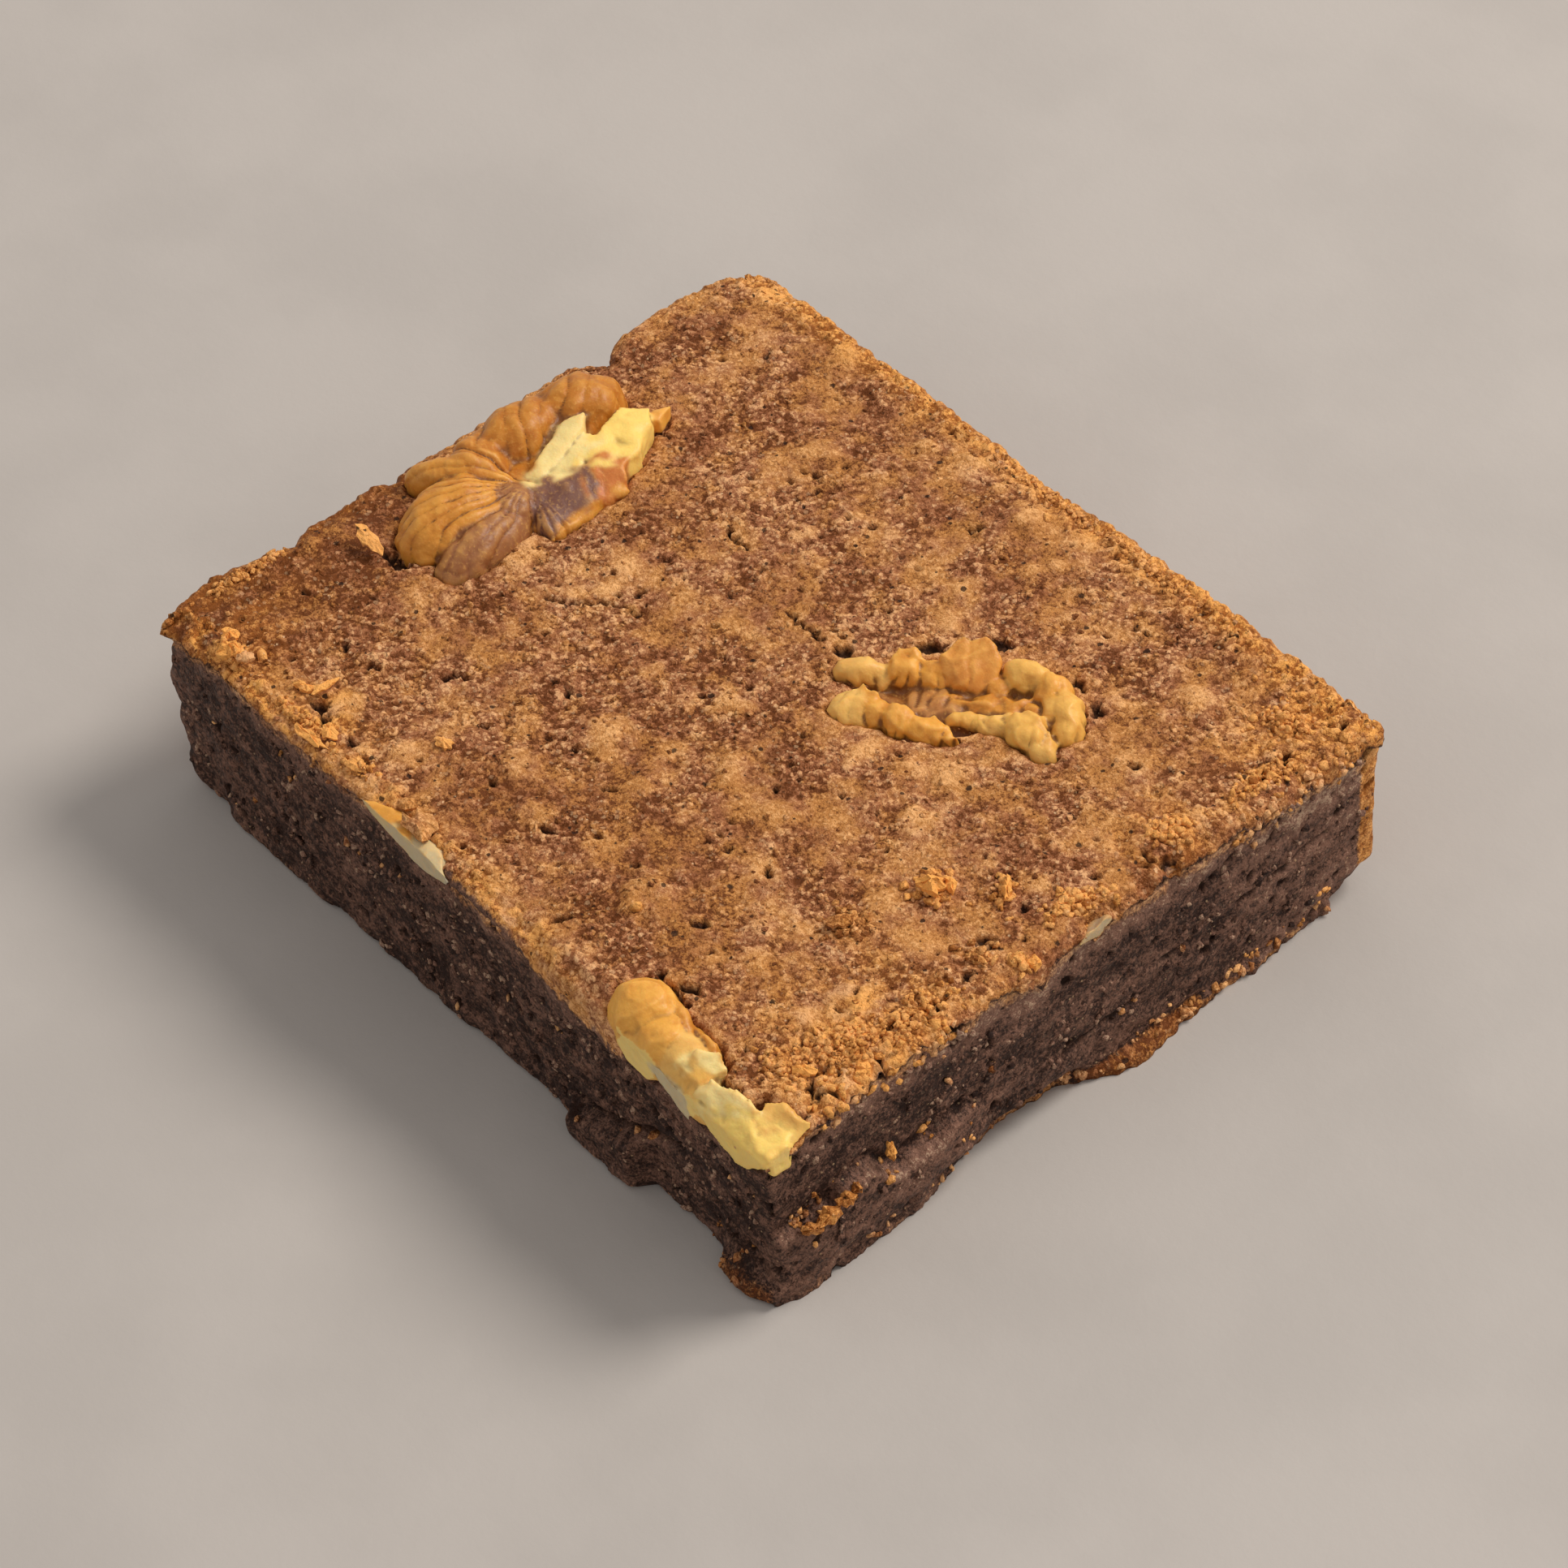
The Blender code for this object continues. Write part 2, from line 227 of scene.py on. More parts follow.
def grains(points, spacing, seed=0):
    """For grains one spacing apart: distance to the nearest, to the next, and its number."""
    scaled = points / spacing
    base = np.floor(scaled)
    nearest = np.full(len(points), 9.0)
    following = np.full(len(points), 9.0)
    number = np.zeros(len(points))
    for offset in itertools.product((-1, 0, 1), repeat=points.shape[1]):
        cell = base + offset
        away = np.zeros(len(points))
        for axis in range(points.shape[1]):
            middle = cell[:, axis] + cell_random(64 * seed + axis + 8, cell)
            away += (scaled[:, axis] - middle) ** 2
        away = np.sqrt(away)
        closer = away < nearest
        following = np.where(closer, nearest, np.minimum(following, away))
        number = np.where(closer, cell_random(64 * seed + 20, cell), number)
        nearest = np.minimum(nearest, away)
    return nearest, following, number


def averaged(values, edges, rounds):
    """The values after each has been averaged with its neighbours, so many rounds over."""
    first, second = edges.T
    size = len(values)
    links = np.maximum(np.bincount(edges.ravel(), minlength=size), 1)
    values = values.reshape(size, -1)
    for _ in range(rounds):
        totals = [
            np.bincount(first, column[second], size) + np.bincount(second, column[first], size)
            for column in values.T
        ]
        values = 0.4 * values + 0.6 * np.stack(totals, 1) / links[:, None]
    return values


def read_rows(items, key, width, kind):
    """One value of many items of a mesh, as rows so many numbers wide."""
    flat = np.empty(width * len(items), kind)
    items.foreach_get(key, flat)
    return flat.reshape(-1, width)


def mesh_points(mesh):
    return read_rows(mesh.vertices, "co", 3, np.float32).astype(float)


def mesh_normals(mesh):
    return read_rows(mesh.vertex_normals, "vector", 3, np.float32).astype(float)


def mesh_edges(mesh):
    return read_rows(mesh.edges, "vertices", 2, np.int32)


def move_points(mesh, points):
    mesh.vertices.foreach_set("co", points.astype(np.float32).ravel())
    mesh.update()


def add_masks(obj, masks):
    """Stores numbers from 0 to 1 for each point of an object, for its material to read."""
    count = len(obj.data.vertices)
    for name, values in masks.items():
        layer = obj.data.attributes.new(name, "FLOAT", "POINT")
        values = np.broadcast_to(np.clip(values, 0, 1), count)
        layer.data.foreach_set("value", values.astype(np.float32))


def add_row(masks, count, **values):
    """Adds a row of so many points to each mask: a number for each, one for all, or 0."""
    for name, rows in masks.items():
        rows.append(np.broadcast_to(values.get(name, 0.0), count))


def mesh_object(name, points, faces, material):
    """A smooth-shaded object from points in millimetres."""
    remove_object(name)
    mesh = bpy.data.meshes.new(name)
    mesh.from_pydata(((points + MIDDLE) * MM).tolist(), [], [list(face) for face in faces])
    mesh.polygons.foreach_set("use_smooth", [True] * len(mesh.polygons))
    mesh.materials.append(material)
    mesh.update()
    obj = bpy.data.objects.new(name, mesh)
    bpy.context.scene.collection.objects.link(obj)
    return obj


def remove_object(name):
    old = bpy.data.objects.get(name)
    if old:
        bpy.data.objects.remove(old, do_unlink=True)


def ring_faces(first, second):
    """Quads between two closed rings of points."""
    return np.stack([first, np.roll(first, -1), np.roll(second, -1), second], 1).tolist()


def add_ring(points, faces, ring, previous, rising):
    """Adds a ring of points, joined to the one under or over it, and gives their numbers."""
    numbers = sum(map(len, points)) + np.arange(len(ring))
    points.append(ring)
    if previous is not None:
        faces.extend(ring_faces(*((previous, numbers) if rising else (numbers, previous))))
    return numbers


def put_together(shapes):
    """Joins shapes, each its points and faces: all the points, all the faces, and the number of
    the shape that each point is from."""
    sizes = [len(points) for points, _ in shapes]
    starts = itertools.accumulate(sizes, initial=0)
    faces = [[start + corner for corner in face]
             for start, (_, own) in zip(starts, shapes) for face in own]
    points = np.concatenate([np.empty((0, 3)), *(points for points, _ in shapes)])
    return points, faces, np.repeat(np.arange(len(shapes)), sizes)


def tree_of(names):
    """A search tree over the named objects that are there, in the slab's millimetres."""
    meshes = [bpy.data.objects[name].data for name in names if name in bpy.data.objects]
    points, faces, _ = put_together(
        [(mesh_points(mesh) / MM - MIDDLE, [face.vertices for face in mesh.polygons])
         for mesh in meshes])
    return BVHTree.FromPolygons(points.tolist(), faces)


# --------------------------------------
# Materials


def node(tree, kind, inputs=None, **settings):
    """Adds a shader node. Inputs are numbers, colours or the outputs of other nodes."""
    made = tree.nodes.new(kind)
    for name, value in settings.items():
        setattr(made, name, value)
    for key, value in (inputs or {}).items():
        if isinstance(value, bpy.types.NodeSocket):
            tree.links.new(value, made.inputs[key])
        else:
            made.inputs[key].default_value = value
    return made


def new_material(name):
    """A material in place of any of the same name, with its node tree and its shader."""
    old = bpy.data.materials.get(name)
    if old:
        bpy.data.materials.remove(old)
    material = bpy.data.materials.new(name)
    material.use_nodes = True
    return material, material.node_tree, material.node_tree.nodes["Principled BSDF"]


def mask(tree, name):
    """One of the numbers that `add_masks` stored on the mesh."""
    return node(tree, "ShaderNodeAttribute", attribute_name=name).outputs["Fac"]


def object_place(tree):
    """Where a point of the surface lies, in metres in the object's own frame."""
    return node(tree, "ShaderNodeTexCoord").outputs["Object"]


def speckle(tree, spacing, detail=3.0, roughness=0.6):
    """Noise from 0 to 1 with patches about one spacing apart, in millimetres."""
    inputs = {"Vector": object_place(tree), "Scale": 1 / (spacing * MM), "Detail": detail,
              "Roughness": roughness}
    return node(tree, "ShaderNodeTexNoise", inputs).outputs["Fac"]


def cells(tree, spacing, at):
    """Cells one spacing apart: two random numbers for each, and the distance to its middle."""
    inputs = {"Vector": at, "Scale": 1 / (spacing * MM)}
    found = node(tree, "ShaderNodeTexVoronoi", inputs)
    number = node(tree, "ShaderNodeSeparateColor", {"Color": found.outputs["Color"]})
    return number.outputs["Red"], number.outputs["Green"], found.outputs["Distance"]


def crystals(tree, spacing, share):
    """1 on a small share of tiny cells, 0 elsewhere."""
    number, _, away = cells(tree, spacing, object_place(tree))
    chosen = spread(tree, number, 1 - share, 1 - 0.9 * share)
    return times(tree, chosen, spread(tree, away, 0.45, 0.25))


def spread(tree, value, low, high, to_low=0.0, to_high=1.0):
    """Maps a range to another, smoothly and held at its ends."""
    inputs = {"Value": value, "From Min": low, "From Max": high, "To Min": to_low,
              "To Max": to_high}
    made = node(tree, "ShaderNodeMapRange", inputs, interpolation_type="SMOOTHSTEP")
    return made.outputs["Result"]


def joined(tree, operation, first, *others, clamp=False):
    """Works from left to right through numbers and the outputs of other nodes."""
    for other in others:
        made = node(tree, "ShaderNodeMath", {0: first, 1: other}, operation=operation,
                    use_clamp=clamp)
        first = made.outputs["Value"]
    return first


def sums(tree, *values, clamp=False):
    return joined(tree, "ADD", *values, clamp=clamp)


def times(tree, *values):
    return joined(tree, "MULTIPLY", *values)


def blend(tree, share, first, second, kind="MIX"):
    """Mixes two colours, or a colour and the output of another node."""
    made = node(tree, "ShaderNodeMix", data_type="RGBA", blend_type=kind)
    colours = [socket for socket in made.inputs if socket.type == "RGBA"]
    for socket, value in zip([made.inputs["Factor"], *colours], (share, first, second)):
        if isinstance(value, bpy.types.NodeSocket):
            tree.links.new(value, socket)
        else:
            socket.default_value = value
    return next(out for out in made.outputs if out.type == "RGBA")


def bumped(tree, height, distance, strength, below=None):
    """The surface direction after a relief so many millimetres high, on top of another."""
    inputs = {"Height": height, "Distance": distance * MM, "Strength": strength}
    if below:
        inputs["Normal"] = below
    return node(tree, "ShaderNodeBump", inputs).outputs["Normal"]


def chips(tree, spacing, wander=0.45):
    """Ragged chips: two random numbers for each, and how far inside its edge a point lies."""
    noise_inputs = {"Vector": object_place(tree), "Scale": 1 / (0.8 * spacing * MM), "Detail": 3.0}
    shift = node(tree, "ShaderNodeTexNoise", noise_inputs).outputs["Color"]
    centred = node(tree, "ShaderNodeVectorMath", {0: shift, 1: (0.5, 0.5, 0.5)},
                   operation="SUBTRACT").outputs["Vector"]
    moved = node(tree, "ShaderNodeVectorMath", {0: centred, 1: (2 * wander * spacing * MM,) * 3,
                                                2: object_place(tree)},
                 operation="MULTIPLY_ADD").outputs["Vector"]
    number, hue, away = cells(tree, spacing, moved)
    return number, hue, spread(tree, away, 0.62, 0.4)


def pinholes(tree, spacing, share):
    """1 in small ragged holes scattered about one spacing apart, 0 elsewhere."""
    number, other, away = cells(tree, spacing, object_place(tree))
    shift = about(tree, speckle(tree, 0.25 * spacing, 2.0), 0.25)
    away = sums(tree, away, shift, times(tree, other, 0.08))
    chosen = spread(tree, number, 1 - share, 1.02 - share)
    return times(tree, chosen, spread(tree, away, 0.16, 0.10))


def about(tree, value, weight):
    """A number from 0 to 1, moved to lie about 0 and weighted."""
    made = node(tree, "ShaderNodeMath", {0: value, 1: weight, 2: -weight / 2},
                operation="MULTIPLY_ADD")
    return made.outputs["Value"]


# The patterns that both colour and roughen the crust and the crumb.
Speckles = namedtuple("Speckles", "large small inside fine tiny mosaic mottle flecks strength")


def grain_speckles(tree, grit):
    """Ragged chips of two sizes and fine mottling, stronger where the surface is gritty."""
    large, _, _ = chips(tree, 0.8)
    small, small_hue, inside = chips(tree, 0.4)
    fine = speckle(tree, 0.28, 3.0, 0.7)
    tiny = speckle(tree, 0.12, 2.0, 0.6)
    strength = sums(tree, 0.25, times(tree, grit, 0.75))
    # The chips are a little lighter inside than at their edges: partly their own colour, partly painted
    # shade between grains.
    mosaic = sums(tree, about(tree, large, 0.45), about(tree, small, 0.8), about(tree, inside, 0.25))
    mosaic = times(tree, mosaic, strength)
    mottle = sums(tree, about(tree, fine, 1.5), about(tree, tiny, 0.8))
    flecks = times(tree, spread(tree, small_hue, 0.90, 0.94), inside, grit)
    return Speckles(large, small, inside, fine, tiny, mosaic, mottle, flecks, strength)


def golden_colour(tree, settings, tone, grit, speckles):
    """The crust's colour: dark between its grains, partly as painted shade, ochre or pale on them, and
    golden rims, with painted light carried in its tone.
    """
    level = sums(tree, tone, speckles.mosaic, speckles.mottle)
    broad = speckle(tree, 2.8, 3.0, 0.6)
    hue = sums(tree, about(tree, broad, 2.2), about(tree, grit, -0.6))
    hue = spread(tree, hue, -0.4, 0.4)
    middle = blend(tree, hue, settings.crust_mid, settings.crust_ochre)
    golden = blend(tree, spread(tree, level, -0.1, 0.5), settings.crust_dark, middle)
    lighter = blend(tree, hue, settings.crust_pale, settings.crust_light)
    golden = blend(tree, spread(tree, level, 0.4, 1.2), golden, lighter)
    gilt = blend(tree, spread(tree, level, 0.0, 0.85), settings.crust_amber, settings.crust_gold)
    golden = blend(tree, mask(tree, "gold"), golden, gilt)
    return blend(tree, times(tree, speckles.flecks, 0.3), golden, settings.sugar_and_glint)


def dark_colour(tree, settings, tone, speckles):
    """The crumb's colour: dark, with lighter mottling and pale specks."""
    mosaic, mottle = times(tree, speckles.mosaic, 0.4), times(tree, speckles.mottle, 1.05)
    muted = sums(tree, tone, mosaic, mottle)
    dark = blend(tree, spread(tree, muted, 0.1, 0.9), settings.crumb_dark, settings.crumb_light)
    fleck = times(tree, speckles.flecks, 0.25)
    pale = sums(tree, spread(tree, muted, 0.9, 1.15), fleck, clamp=True)
    return blend(tree, pale, dark, settings.crumb_speck)


def fine_pores(tree, strength):
    """Above 0 in the small pores and pinholes, 0 elsewhere."""
    pores = times(tree, spread(tree, speckle(tree, 0.8, 3.0, 0.65), 0.36, 0.30), strength)
    pricked = joined(tree, "MAXIMUM", pinholes(tree, 2.1, 0.8), pinholes(tree, 1.3, 0.35))
    return joined(tree, "MAXIMUM", times(tree, pores, 0.7), times(tree, pricked, 0.85))


def grain_relief(tree, baked, pores, speckles):
    """The surface direction over chips, mottling and pores, rougher where it is baked."""
    relief = sums(tree, times(tree, speckles.small, 0.35), times(tree, speckles.large, 0.2),
                  times(tree, speckles.inside, 0.3))
    normal = bumped(tree, times(tree, relief, speckles.strength), 0.22, 0.7)
    uneven = joined(tree, "SUBTRACT", speckles.fine, times(tree, pores, 0.6))
    uneven = times(tree, uneven, sums(tree, 0.6, times(tree, baked, 0.4)))
    normal = bumped(tree, uneven, 0.30, 0.8, normal)
    return bumped(tree, speckles.tiny, 0.06, 0.6, normal)


def blondie_material(settings):
    """Golden crust, dark crumb and everything between, told apart by the masks of the mesh."""
    material, tree, shader = new_material("blondie")
    tone, grit, baked = mask(tree, "tone"), mask(tree, "grit"), mask(tree, "baked")
    speckles = grain_speckles(tree, grit)
    golden = golden_colour(tree, settings, tone, grit, speckles)
    dark = dark_colour(tree, settings, tone, speckles)
    ragged = sums(tree, baked, about(tree, speckles.fine, 0.9))
    colour = blend(tree, spread(tree, ragged, 0.25, 0.75), dark, golden)
    pores = fine_pores(tree, speckles.strength)
    # Painted shade: the colour darkens toward the pit shade in the pores, the pinholes and wherever the
    # shade mask of the mesh is high.
    shade = sums(tree, mask(tree, "cavity"), pores)
    colour = blend(tree, spread(tree, shade, 0.0, 1.0, 0.0, 0.92), colour, settings.pit_shade)
    # Tiny cells in the gritty patches turn toward the sugar colour and glossier: pale sugar crystals,
    # partly painted glints.
    glints = sums(tree, -0.1, times(tree, grit, 1.2), clamp=True)
    glints = times(tree, crystals(tree, 0.3, 0.02), glints)
    colour = blend(tree, times(tree, glints, 0.7), colour, settings.sugar_and_glint)
    gloss = spread(tree, speckles.small, 0.0, 1.0, 0.5, 0.8)
    gloss = joined(tree, "SUBTRACT", gloss, times(tree, glints, 0.4), clamp=True)
    tree.links.new(colour, shader.inputs["Base Color"])
    tree.links.new(gloss, shader.inputs["Roughness"])
    tree.links.new(grain_relief(tree, baked, pores, speckles), shader.inputs["Normal"])
    shader.inputs["Specular IOR Level"].default_value = 0.2
    return material


def walnut_material(settings):
    """Papery skin over pale flesh, with painted shade in its folds and painted highlights on its
    crests.
    """
    material, tree, shader = new_material("walnut_kernel")
    gold = mask(tree, "gold")
    patches = speckle(tree, 1.6, 3.0, 0.6)
    veins = speckle(tree, 0.35, 3.0, 0.6)
    skin = blend(tree, gold, settings.skin_amber, settings.skin_gold)
    flesh = blend(tree, gold, settings.flesh_cream, settings.flesh_yellow)
    colour = blend(tree, mask(tree, "flesh"), skin, flesh)
    colour = blend(tree, mask(tree, "orange"), colour, settings.skin_orange)
    colour = blend(tree, times(tree, mask(tree, "mauve"), 0.9), colour, settings.skin_mauve)
    colour = blend(tree, times(tree, mask(tree, "grey"), 0.75), colour, settings.flesh_grey)
    # Painted highlight on the crests and painted shade in the folds.
    light = spread(tree, mask(tree, "painted_relief_light"), 0.5, 1.0, 0.0, 0.35)
    colour = blend(tree, light, colour, settings.skin_pale_and_highlight)
    dark = spread(tree, mask(tree, "painted_relief_light"), 0.5, 0.0, 0.0, 0.85)
    colour = blend(tree, dark, colour, settings.skin_fold_shade)
    unbroken = joined(tree, "SUBTRACT", 1.0, times(tree, mask(tree, "flesh"), 0.8))
    darker = times(tree, spread(tree, patches, 0.4, 0.75, 0.0, 0.5), unbroken)
    colour = blend(tree, darker, colour, settings.skin_shade, "MULTIPLY")
    colour = blend(tree, spread(tree, veins, 0.5, 0.75, 0.0, 0.28), colour, settings.skin_pale_and_highlight)
    tree.links.new(colour, shader.inputs["Base Color"])
    tree.links.new(spread(tree, veins, 0.2, 0.8, 0.34, 0.52), shader.inputs["Roughness"])
    normal = bumped(tree, patches, 0.2, 0.4)
    normal = bumped(tree, veins, 0.08, 0.6, normal)
    tree.links.new(normal, shader.inputs["Normal"])
    shader.inputs["Subsurface Weight"].default_value = 0.25
    shader.inputs["Subsurface Radius"].default_value = (1.0, 0.45, 0.2)
    shader.inputs["Subsurface Scale"].default_value = 0.8 * MM
    shader.inputs["Specular IOR Level"].default_value = 0.3
    return material


# --------------------------------------
# Walnuts


def block(finish, base, *top):
    """A shard with a flat base straight under its top corners."""
    return Shard(finish, top + tuple((x, y, base) for x, y, _ in top))


def half_at_edge():
    """A half kernel by the left rim, skin side up, with its broken face along one side."""
    ridge = [
        Lobe(-33.7, 8.2, 19.2, 9.6, 7.4, 8, 80),
        Lobe(-34.3, 3, 19, 12, 7.2, 8.2, 84),
        Lobe(-33.8, -2.4, 18.8, 8.6, 6.6, 7.6, 95),
    ]
    fan = [
        Lobe(-33.4, -4.2, 18.7, 11, 3.8, 6.8, 215, "tan"),
        Lobe(-30.8, -7.2, 18.7, 11.8, 8.2, 7.6, 270, "tan"),
        Lobe(-27, -7.4, 18.2, 10.4, 4.8, 6.2, 276, "dusky"),
        Lobe(-28.8, -3.2, 18.2, 7, 5.4, 6.2, 280, "dusky"),
    ]
    shards = [
        block("cream", 16.5, (-29.7, -0.2, 20.8), (-30.9, 2.9, 21.4), (-31.8, 5.5, 22.3),
              (-30.9, 7.3, 22.6), (-29.9, 6.2, 22), (-29.2, 3, 21.2), (-28.8, 0.4, 20.7)),
        block("cream", 16.5, (-29.3, 3, 20.9), (-29.6, 6.4, 21.5), (-28.4, 6.8, 21.4),
              (-27.3, 3.6, 20.9), (-27.6, 0.9, 20.4), (-28.5, -0.5, 20.4)),
        block("yellow", 16.5, (-28.2, 4.6, 21.2), (-26.7, 4.4, 20.8), (-26.6, 5.8, 21.1),
              (-25, 6.9, 20.7), (-25.5, 8.9, 20.9), (-28, 10.2, 21.3), (-29.3, 7.8, 21.7)),
        block("yellow", 17.5, (-29.3, 7.6, 21.5), (-30.3, 10.5, 21.4), (-28.8, 12.6, 21.1),
              (-27.2, 11.4, 20.8), (-25.9, 9.4, 20.9), (-27.2, 8, 21.5)),
        block("golden", 18.8, (-29.1, 13, 20.3), (-28.2, 14.5, 20.2), (-27.5, 12.6, 20.1),
              (-28.4, 11.8, 20.5)),
        block("mauve", 16.5, (-28.6, -0.6, 20.5), (-27.5, 0.9, 20.5), (-27, 3.6, 20.8),
              (-25.8, 3.6, 20.4), (-24.1, 2.4, 19.5), (-24, -2.4, 19.2), (-25.4, -2.6, 19.7)),
        block("orange", 16.5, (-27, 3.6, 21), (-26.6, 5.9, 21.1), (-25.2, 6.9, 20.7),
              (-24.1, 6.2, 19.9), (-23.7, 3.9, 19.4), (-24.1, 2.2, 19.4), (-25.8, 3, 20.4)),
    ]
    folds = [
        Lobe(-23.9, 0.4, 18.5, 0.9, 6.2, 1.7, 4, "tan"),
        Lobe(-24.1, 4.8, 18.9, 0.9, 2.6, 1.5, -24, "tan"),
        Lobe(-28.9, -0.9, 20.4, 2.2, 0.7, 1, 35, "cream"),
    ]
    bulk = [
        Lobe(-31.2, 0.8, 16.4, 13.6, 23, 8.6),
        Lobe(-28, 7.6, 18.8, 4.4, 8.6, 3.6, 20, "yellow"),
        Lobe(-26, 2.4, 18.4, 3.6, 8, 3.4, -10, "mauve"),
        Lobe(-27.3, 4, 19.7, 2.6, 3, 2.2, 20, "yellow"),
    ]
    return ridge + fan + folds + bulk, shards


def half_in_middle():
    """A half kernel near the middle, inner face up: two rows of lobes with a valley between."""
    far_row = [
        Lobe(6.8, 6.2, 19, 5.2, 2.3, 2.7, 42, "olive"),
        Lobe(9.2, 8.6, 18.9, 3.8, 3, 3.6, 40, "golden"),
        Lobe(8, 7.2, 18.5, 3.4, 2.6, 2.8, 40, "olive"),
        Lobe(11, 10.2, 18.6, 4, 3, 3.4, 50, "golden"),
        Lobe(12.9, 12.4, 18.4, 5, 4.6, 5, 50, "ruddy"),
        Lobe(16.9, 15.3, 19, 4.4, 3.2, 4.2, 20, "pale"),
        Lobe(19.4, 15.7, 18.8, 4.4, 3.2, 4, 0, "golden"),
        Lobe(21.6, 15, 18.7, 5.2, 3.5, 3.9, -24, "pale"),
        Lobe(23.2, 13.9, 18.4, 3.2, 2.8, 3.4, -50, "pale"),
    ]
    near_row = [
        Lobe(9.2, 2.9, 18.8, 4.4, 3.6, 3, 50, "olive"),
        Lobe(11.2, 3.9, 18.7, 3.6, 2.8, 2.9, 45, "golden"),
        Lobe(12.9, 4.5, 18.9, 3, 3.2, 3.5, 40, "golden"),
        Lobe(15, 5.6, 18.7, 4.6, 2.2, 2.9, 35, "golden"),
        Lobe(17, 9, 18.8, 4.6, 1.3, 1.8, 40, "pale"),
        Lobe(18.8, 10.4, 18.6, 4, 2, 2.2, 48, "olive"),
        Lobe(20.6, 11.6, 18.6, 4.4, 2.6, 3.2, 50, "pale"),
        Lobe(22, 11, 18.6, 4.6, 2.2, 3.2, 24, "pale"),
        Lobe(23.3, 10.9, 18.4, 3, 1.8, 2.6, 20, "olive"),
    ]
    valley = [
        Lobe(13.4, 8.4, 17.2, 14.6, 6.6, 3.6, 42, "valley"),
        Lobe(14.4, 9.4, 15.6, 18, 9, 4.6, 42, "valley"),
        Lobe(15.6, 13.2, 18.2, 3, 2.8, 3, 0, "tan"),
        Lobe(17.6, 11.8, 17.9, 7.4, 4, 3, 30, "tan"),
        Lobe(19.8, 13.4, 18.2, 5.4, 2.2, 2.8, 12, "tan"),
        Lobe(16.2, 10.6, 18.3, 5.6, 0.8, 2.4, 34, "tan"),
        Lobe(13.8, 9.6, 18, 5, 0.8, 2.2, 50, "tan"),
        Lobe(11.4, 6.9, 17.9, 4.4, 1, 1.8, 50, "tan"),
        Lobe(18.6, 13.2, 18.6, 3.6, 0.8, 2.2, 75, "tan"),
    ]
    shards = [
        block("golden", 17, (8, 7.4, 20), (7.9, 9.2, 21), (9.4, 10.4, 20.7),
              (11.2, 9.6, 19.8), (9.8, 7.8, 19.6)),
        block("ruddy", 16.5, (11.1, 10.9, 20.9), (11, 13.2, 21.9), (12.6, 14.7, 21.7),
              (14.5, 14.5, 20.8), (15.2, 12.9, 19.6), (14.2, 11.5, 20.3), (12.3, 10.4, 20)),
        block("golden", 17, (8.1, 2.3, 20.1), (8.7, 4.5, 20.6), (10.5, 4.8, 20.4),
              (10.9, 2.9, 19.9), (9.5, 1.3, 19.6)),
        block("golden", 17.5, (14.4, 5.2, 19.8), (14.8, 6.9, 20), (18, 6.8, 19.3),
              (16.6, 5.4, 19.4)),
        block("pale", 17.5, (18.8, 10.4, 19.7), (20.2, 12.6, 20.3), (23, 12.4, 20.1),
              (24.2, 11.4, 19.2), (22, 9.8, 19.3)),
    ]
    return far_row + near_row + valley, shards


def piece_at_corner():
    """A long fragment under the rim of the front cut, up to the corner between the two cuts."""
    lobes = [
        Lobe(22.6, -30, 17.8, 6.4, 5.6, 6, 16, "honey"),
        Lobe(24.2, -31.4, 16.6, 6.6, 3.9, 5, -4, "pale"),
        Lobe(25.4, -28.6, 18.3, 5.6, 1.3, 2.8, -20, "tan"),
        Lobe(28.6, -28.8, 18.1, 4.6, 1, 2.2, -12, "tan"),
        Lobe(25.4, -30.6, 17.5, 6.6, 4.6, 4.9, -8, "honey"),
        Lobe(27.8, -30.6, 17.4, 6.4, 4, 4.4, -10, "olive"),
        Lobe(30, -31, 17, 5.6, 3.4, 4.1, -4, "pale"),
        Lobe(31.4, -31.4, 16.6, 5, 3, 4.2, 0, "pale"),
        Lobe(33.8, -31.4, 16.7, 6, 2.8, 3.2, 0, "yellow"),
        Lobe(37.2, -31.2, 16.4, 5.6, 2.8, 2.8, 0, "yellow"),
        Lobe(37.8, -30.6, 16.9, 5.4, 3.6, 2.2, -20, "yellow"),
    ]
    shards = [
        block("cream", 16, (28.9, -32, 18.9), (29.2, -30.2, 19.7), (30.6, -29, 19.8),
              (32.2, -29.6, 19.3), (31.4, -32, 18.7)),
        block("cream", 15.5, (31.6, -32.6, 18.5), (32.2, -31.3, 19.3), (34.6, -30.5, 19.3),
              (36.8, -30.3, 18.9), (36.4, -31, 18.4), (33.6, -32.6, 18)),
        Shard("yellow", ((31.6, -32.9, 17.6), (35, -31.5, 18.4), (37.2, -30.6, 18.2),
                         (40.4, -31.2, 17.6), (40.4, -32.9, 17), (33, -32.9, 15.9),
                         (36.2, -32.9, 14.3), (39.4, -32.9, 15.8), (36, -29, 15),
                         (40, -30, 15.8))),
        block("yellow", 15.5, (37.4, -31.8, 18.1), (38, -30.2, 18.3), (39.6, -29.7, 18),
              (40.4, -30.6, 17.9), (40.4, -32.2, 17.6), (38.8, -32.6, 17.7)),
        Shard("olive", ((36.8, -30.8, 18.4), (36.2, -29.2, 18.9), (37.6, -28.4, 18.8),
                        (40.3, -28, 18.1), (40.4, -31, 17.2), (38, -29.5, 16))),
        Shard("film", ((26, -33.3, 17.4), (27.2, -33.3, 17.9), (30.4, -33.3, 17.2),
                       (30.9, -33.3, 14.4), (29.8, -33.3, 14.7), (27.4, -33.3, 16.2),
                       (28, -31.4, 17), (30.4, -31.4, 16))),
    ]
    return lobes, shards


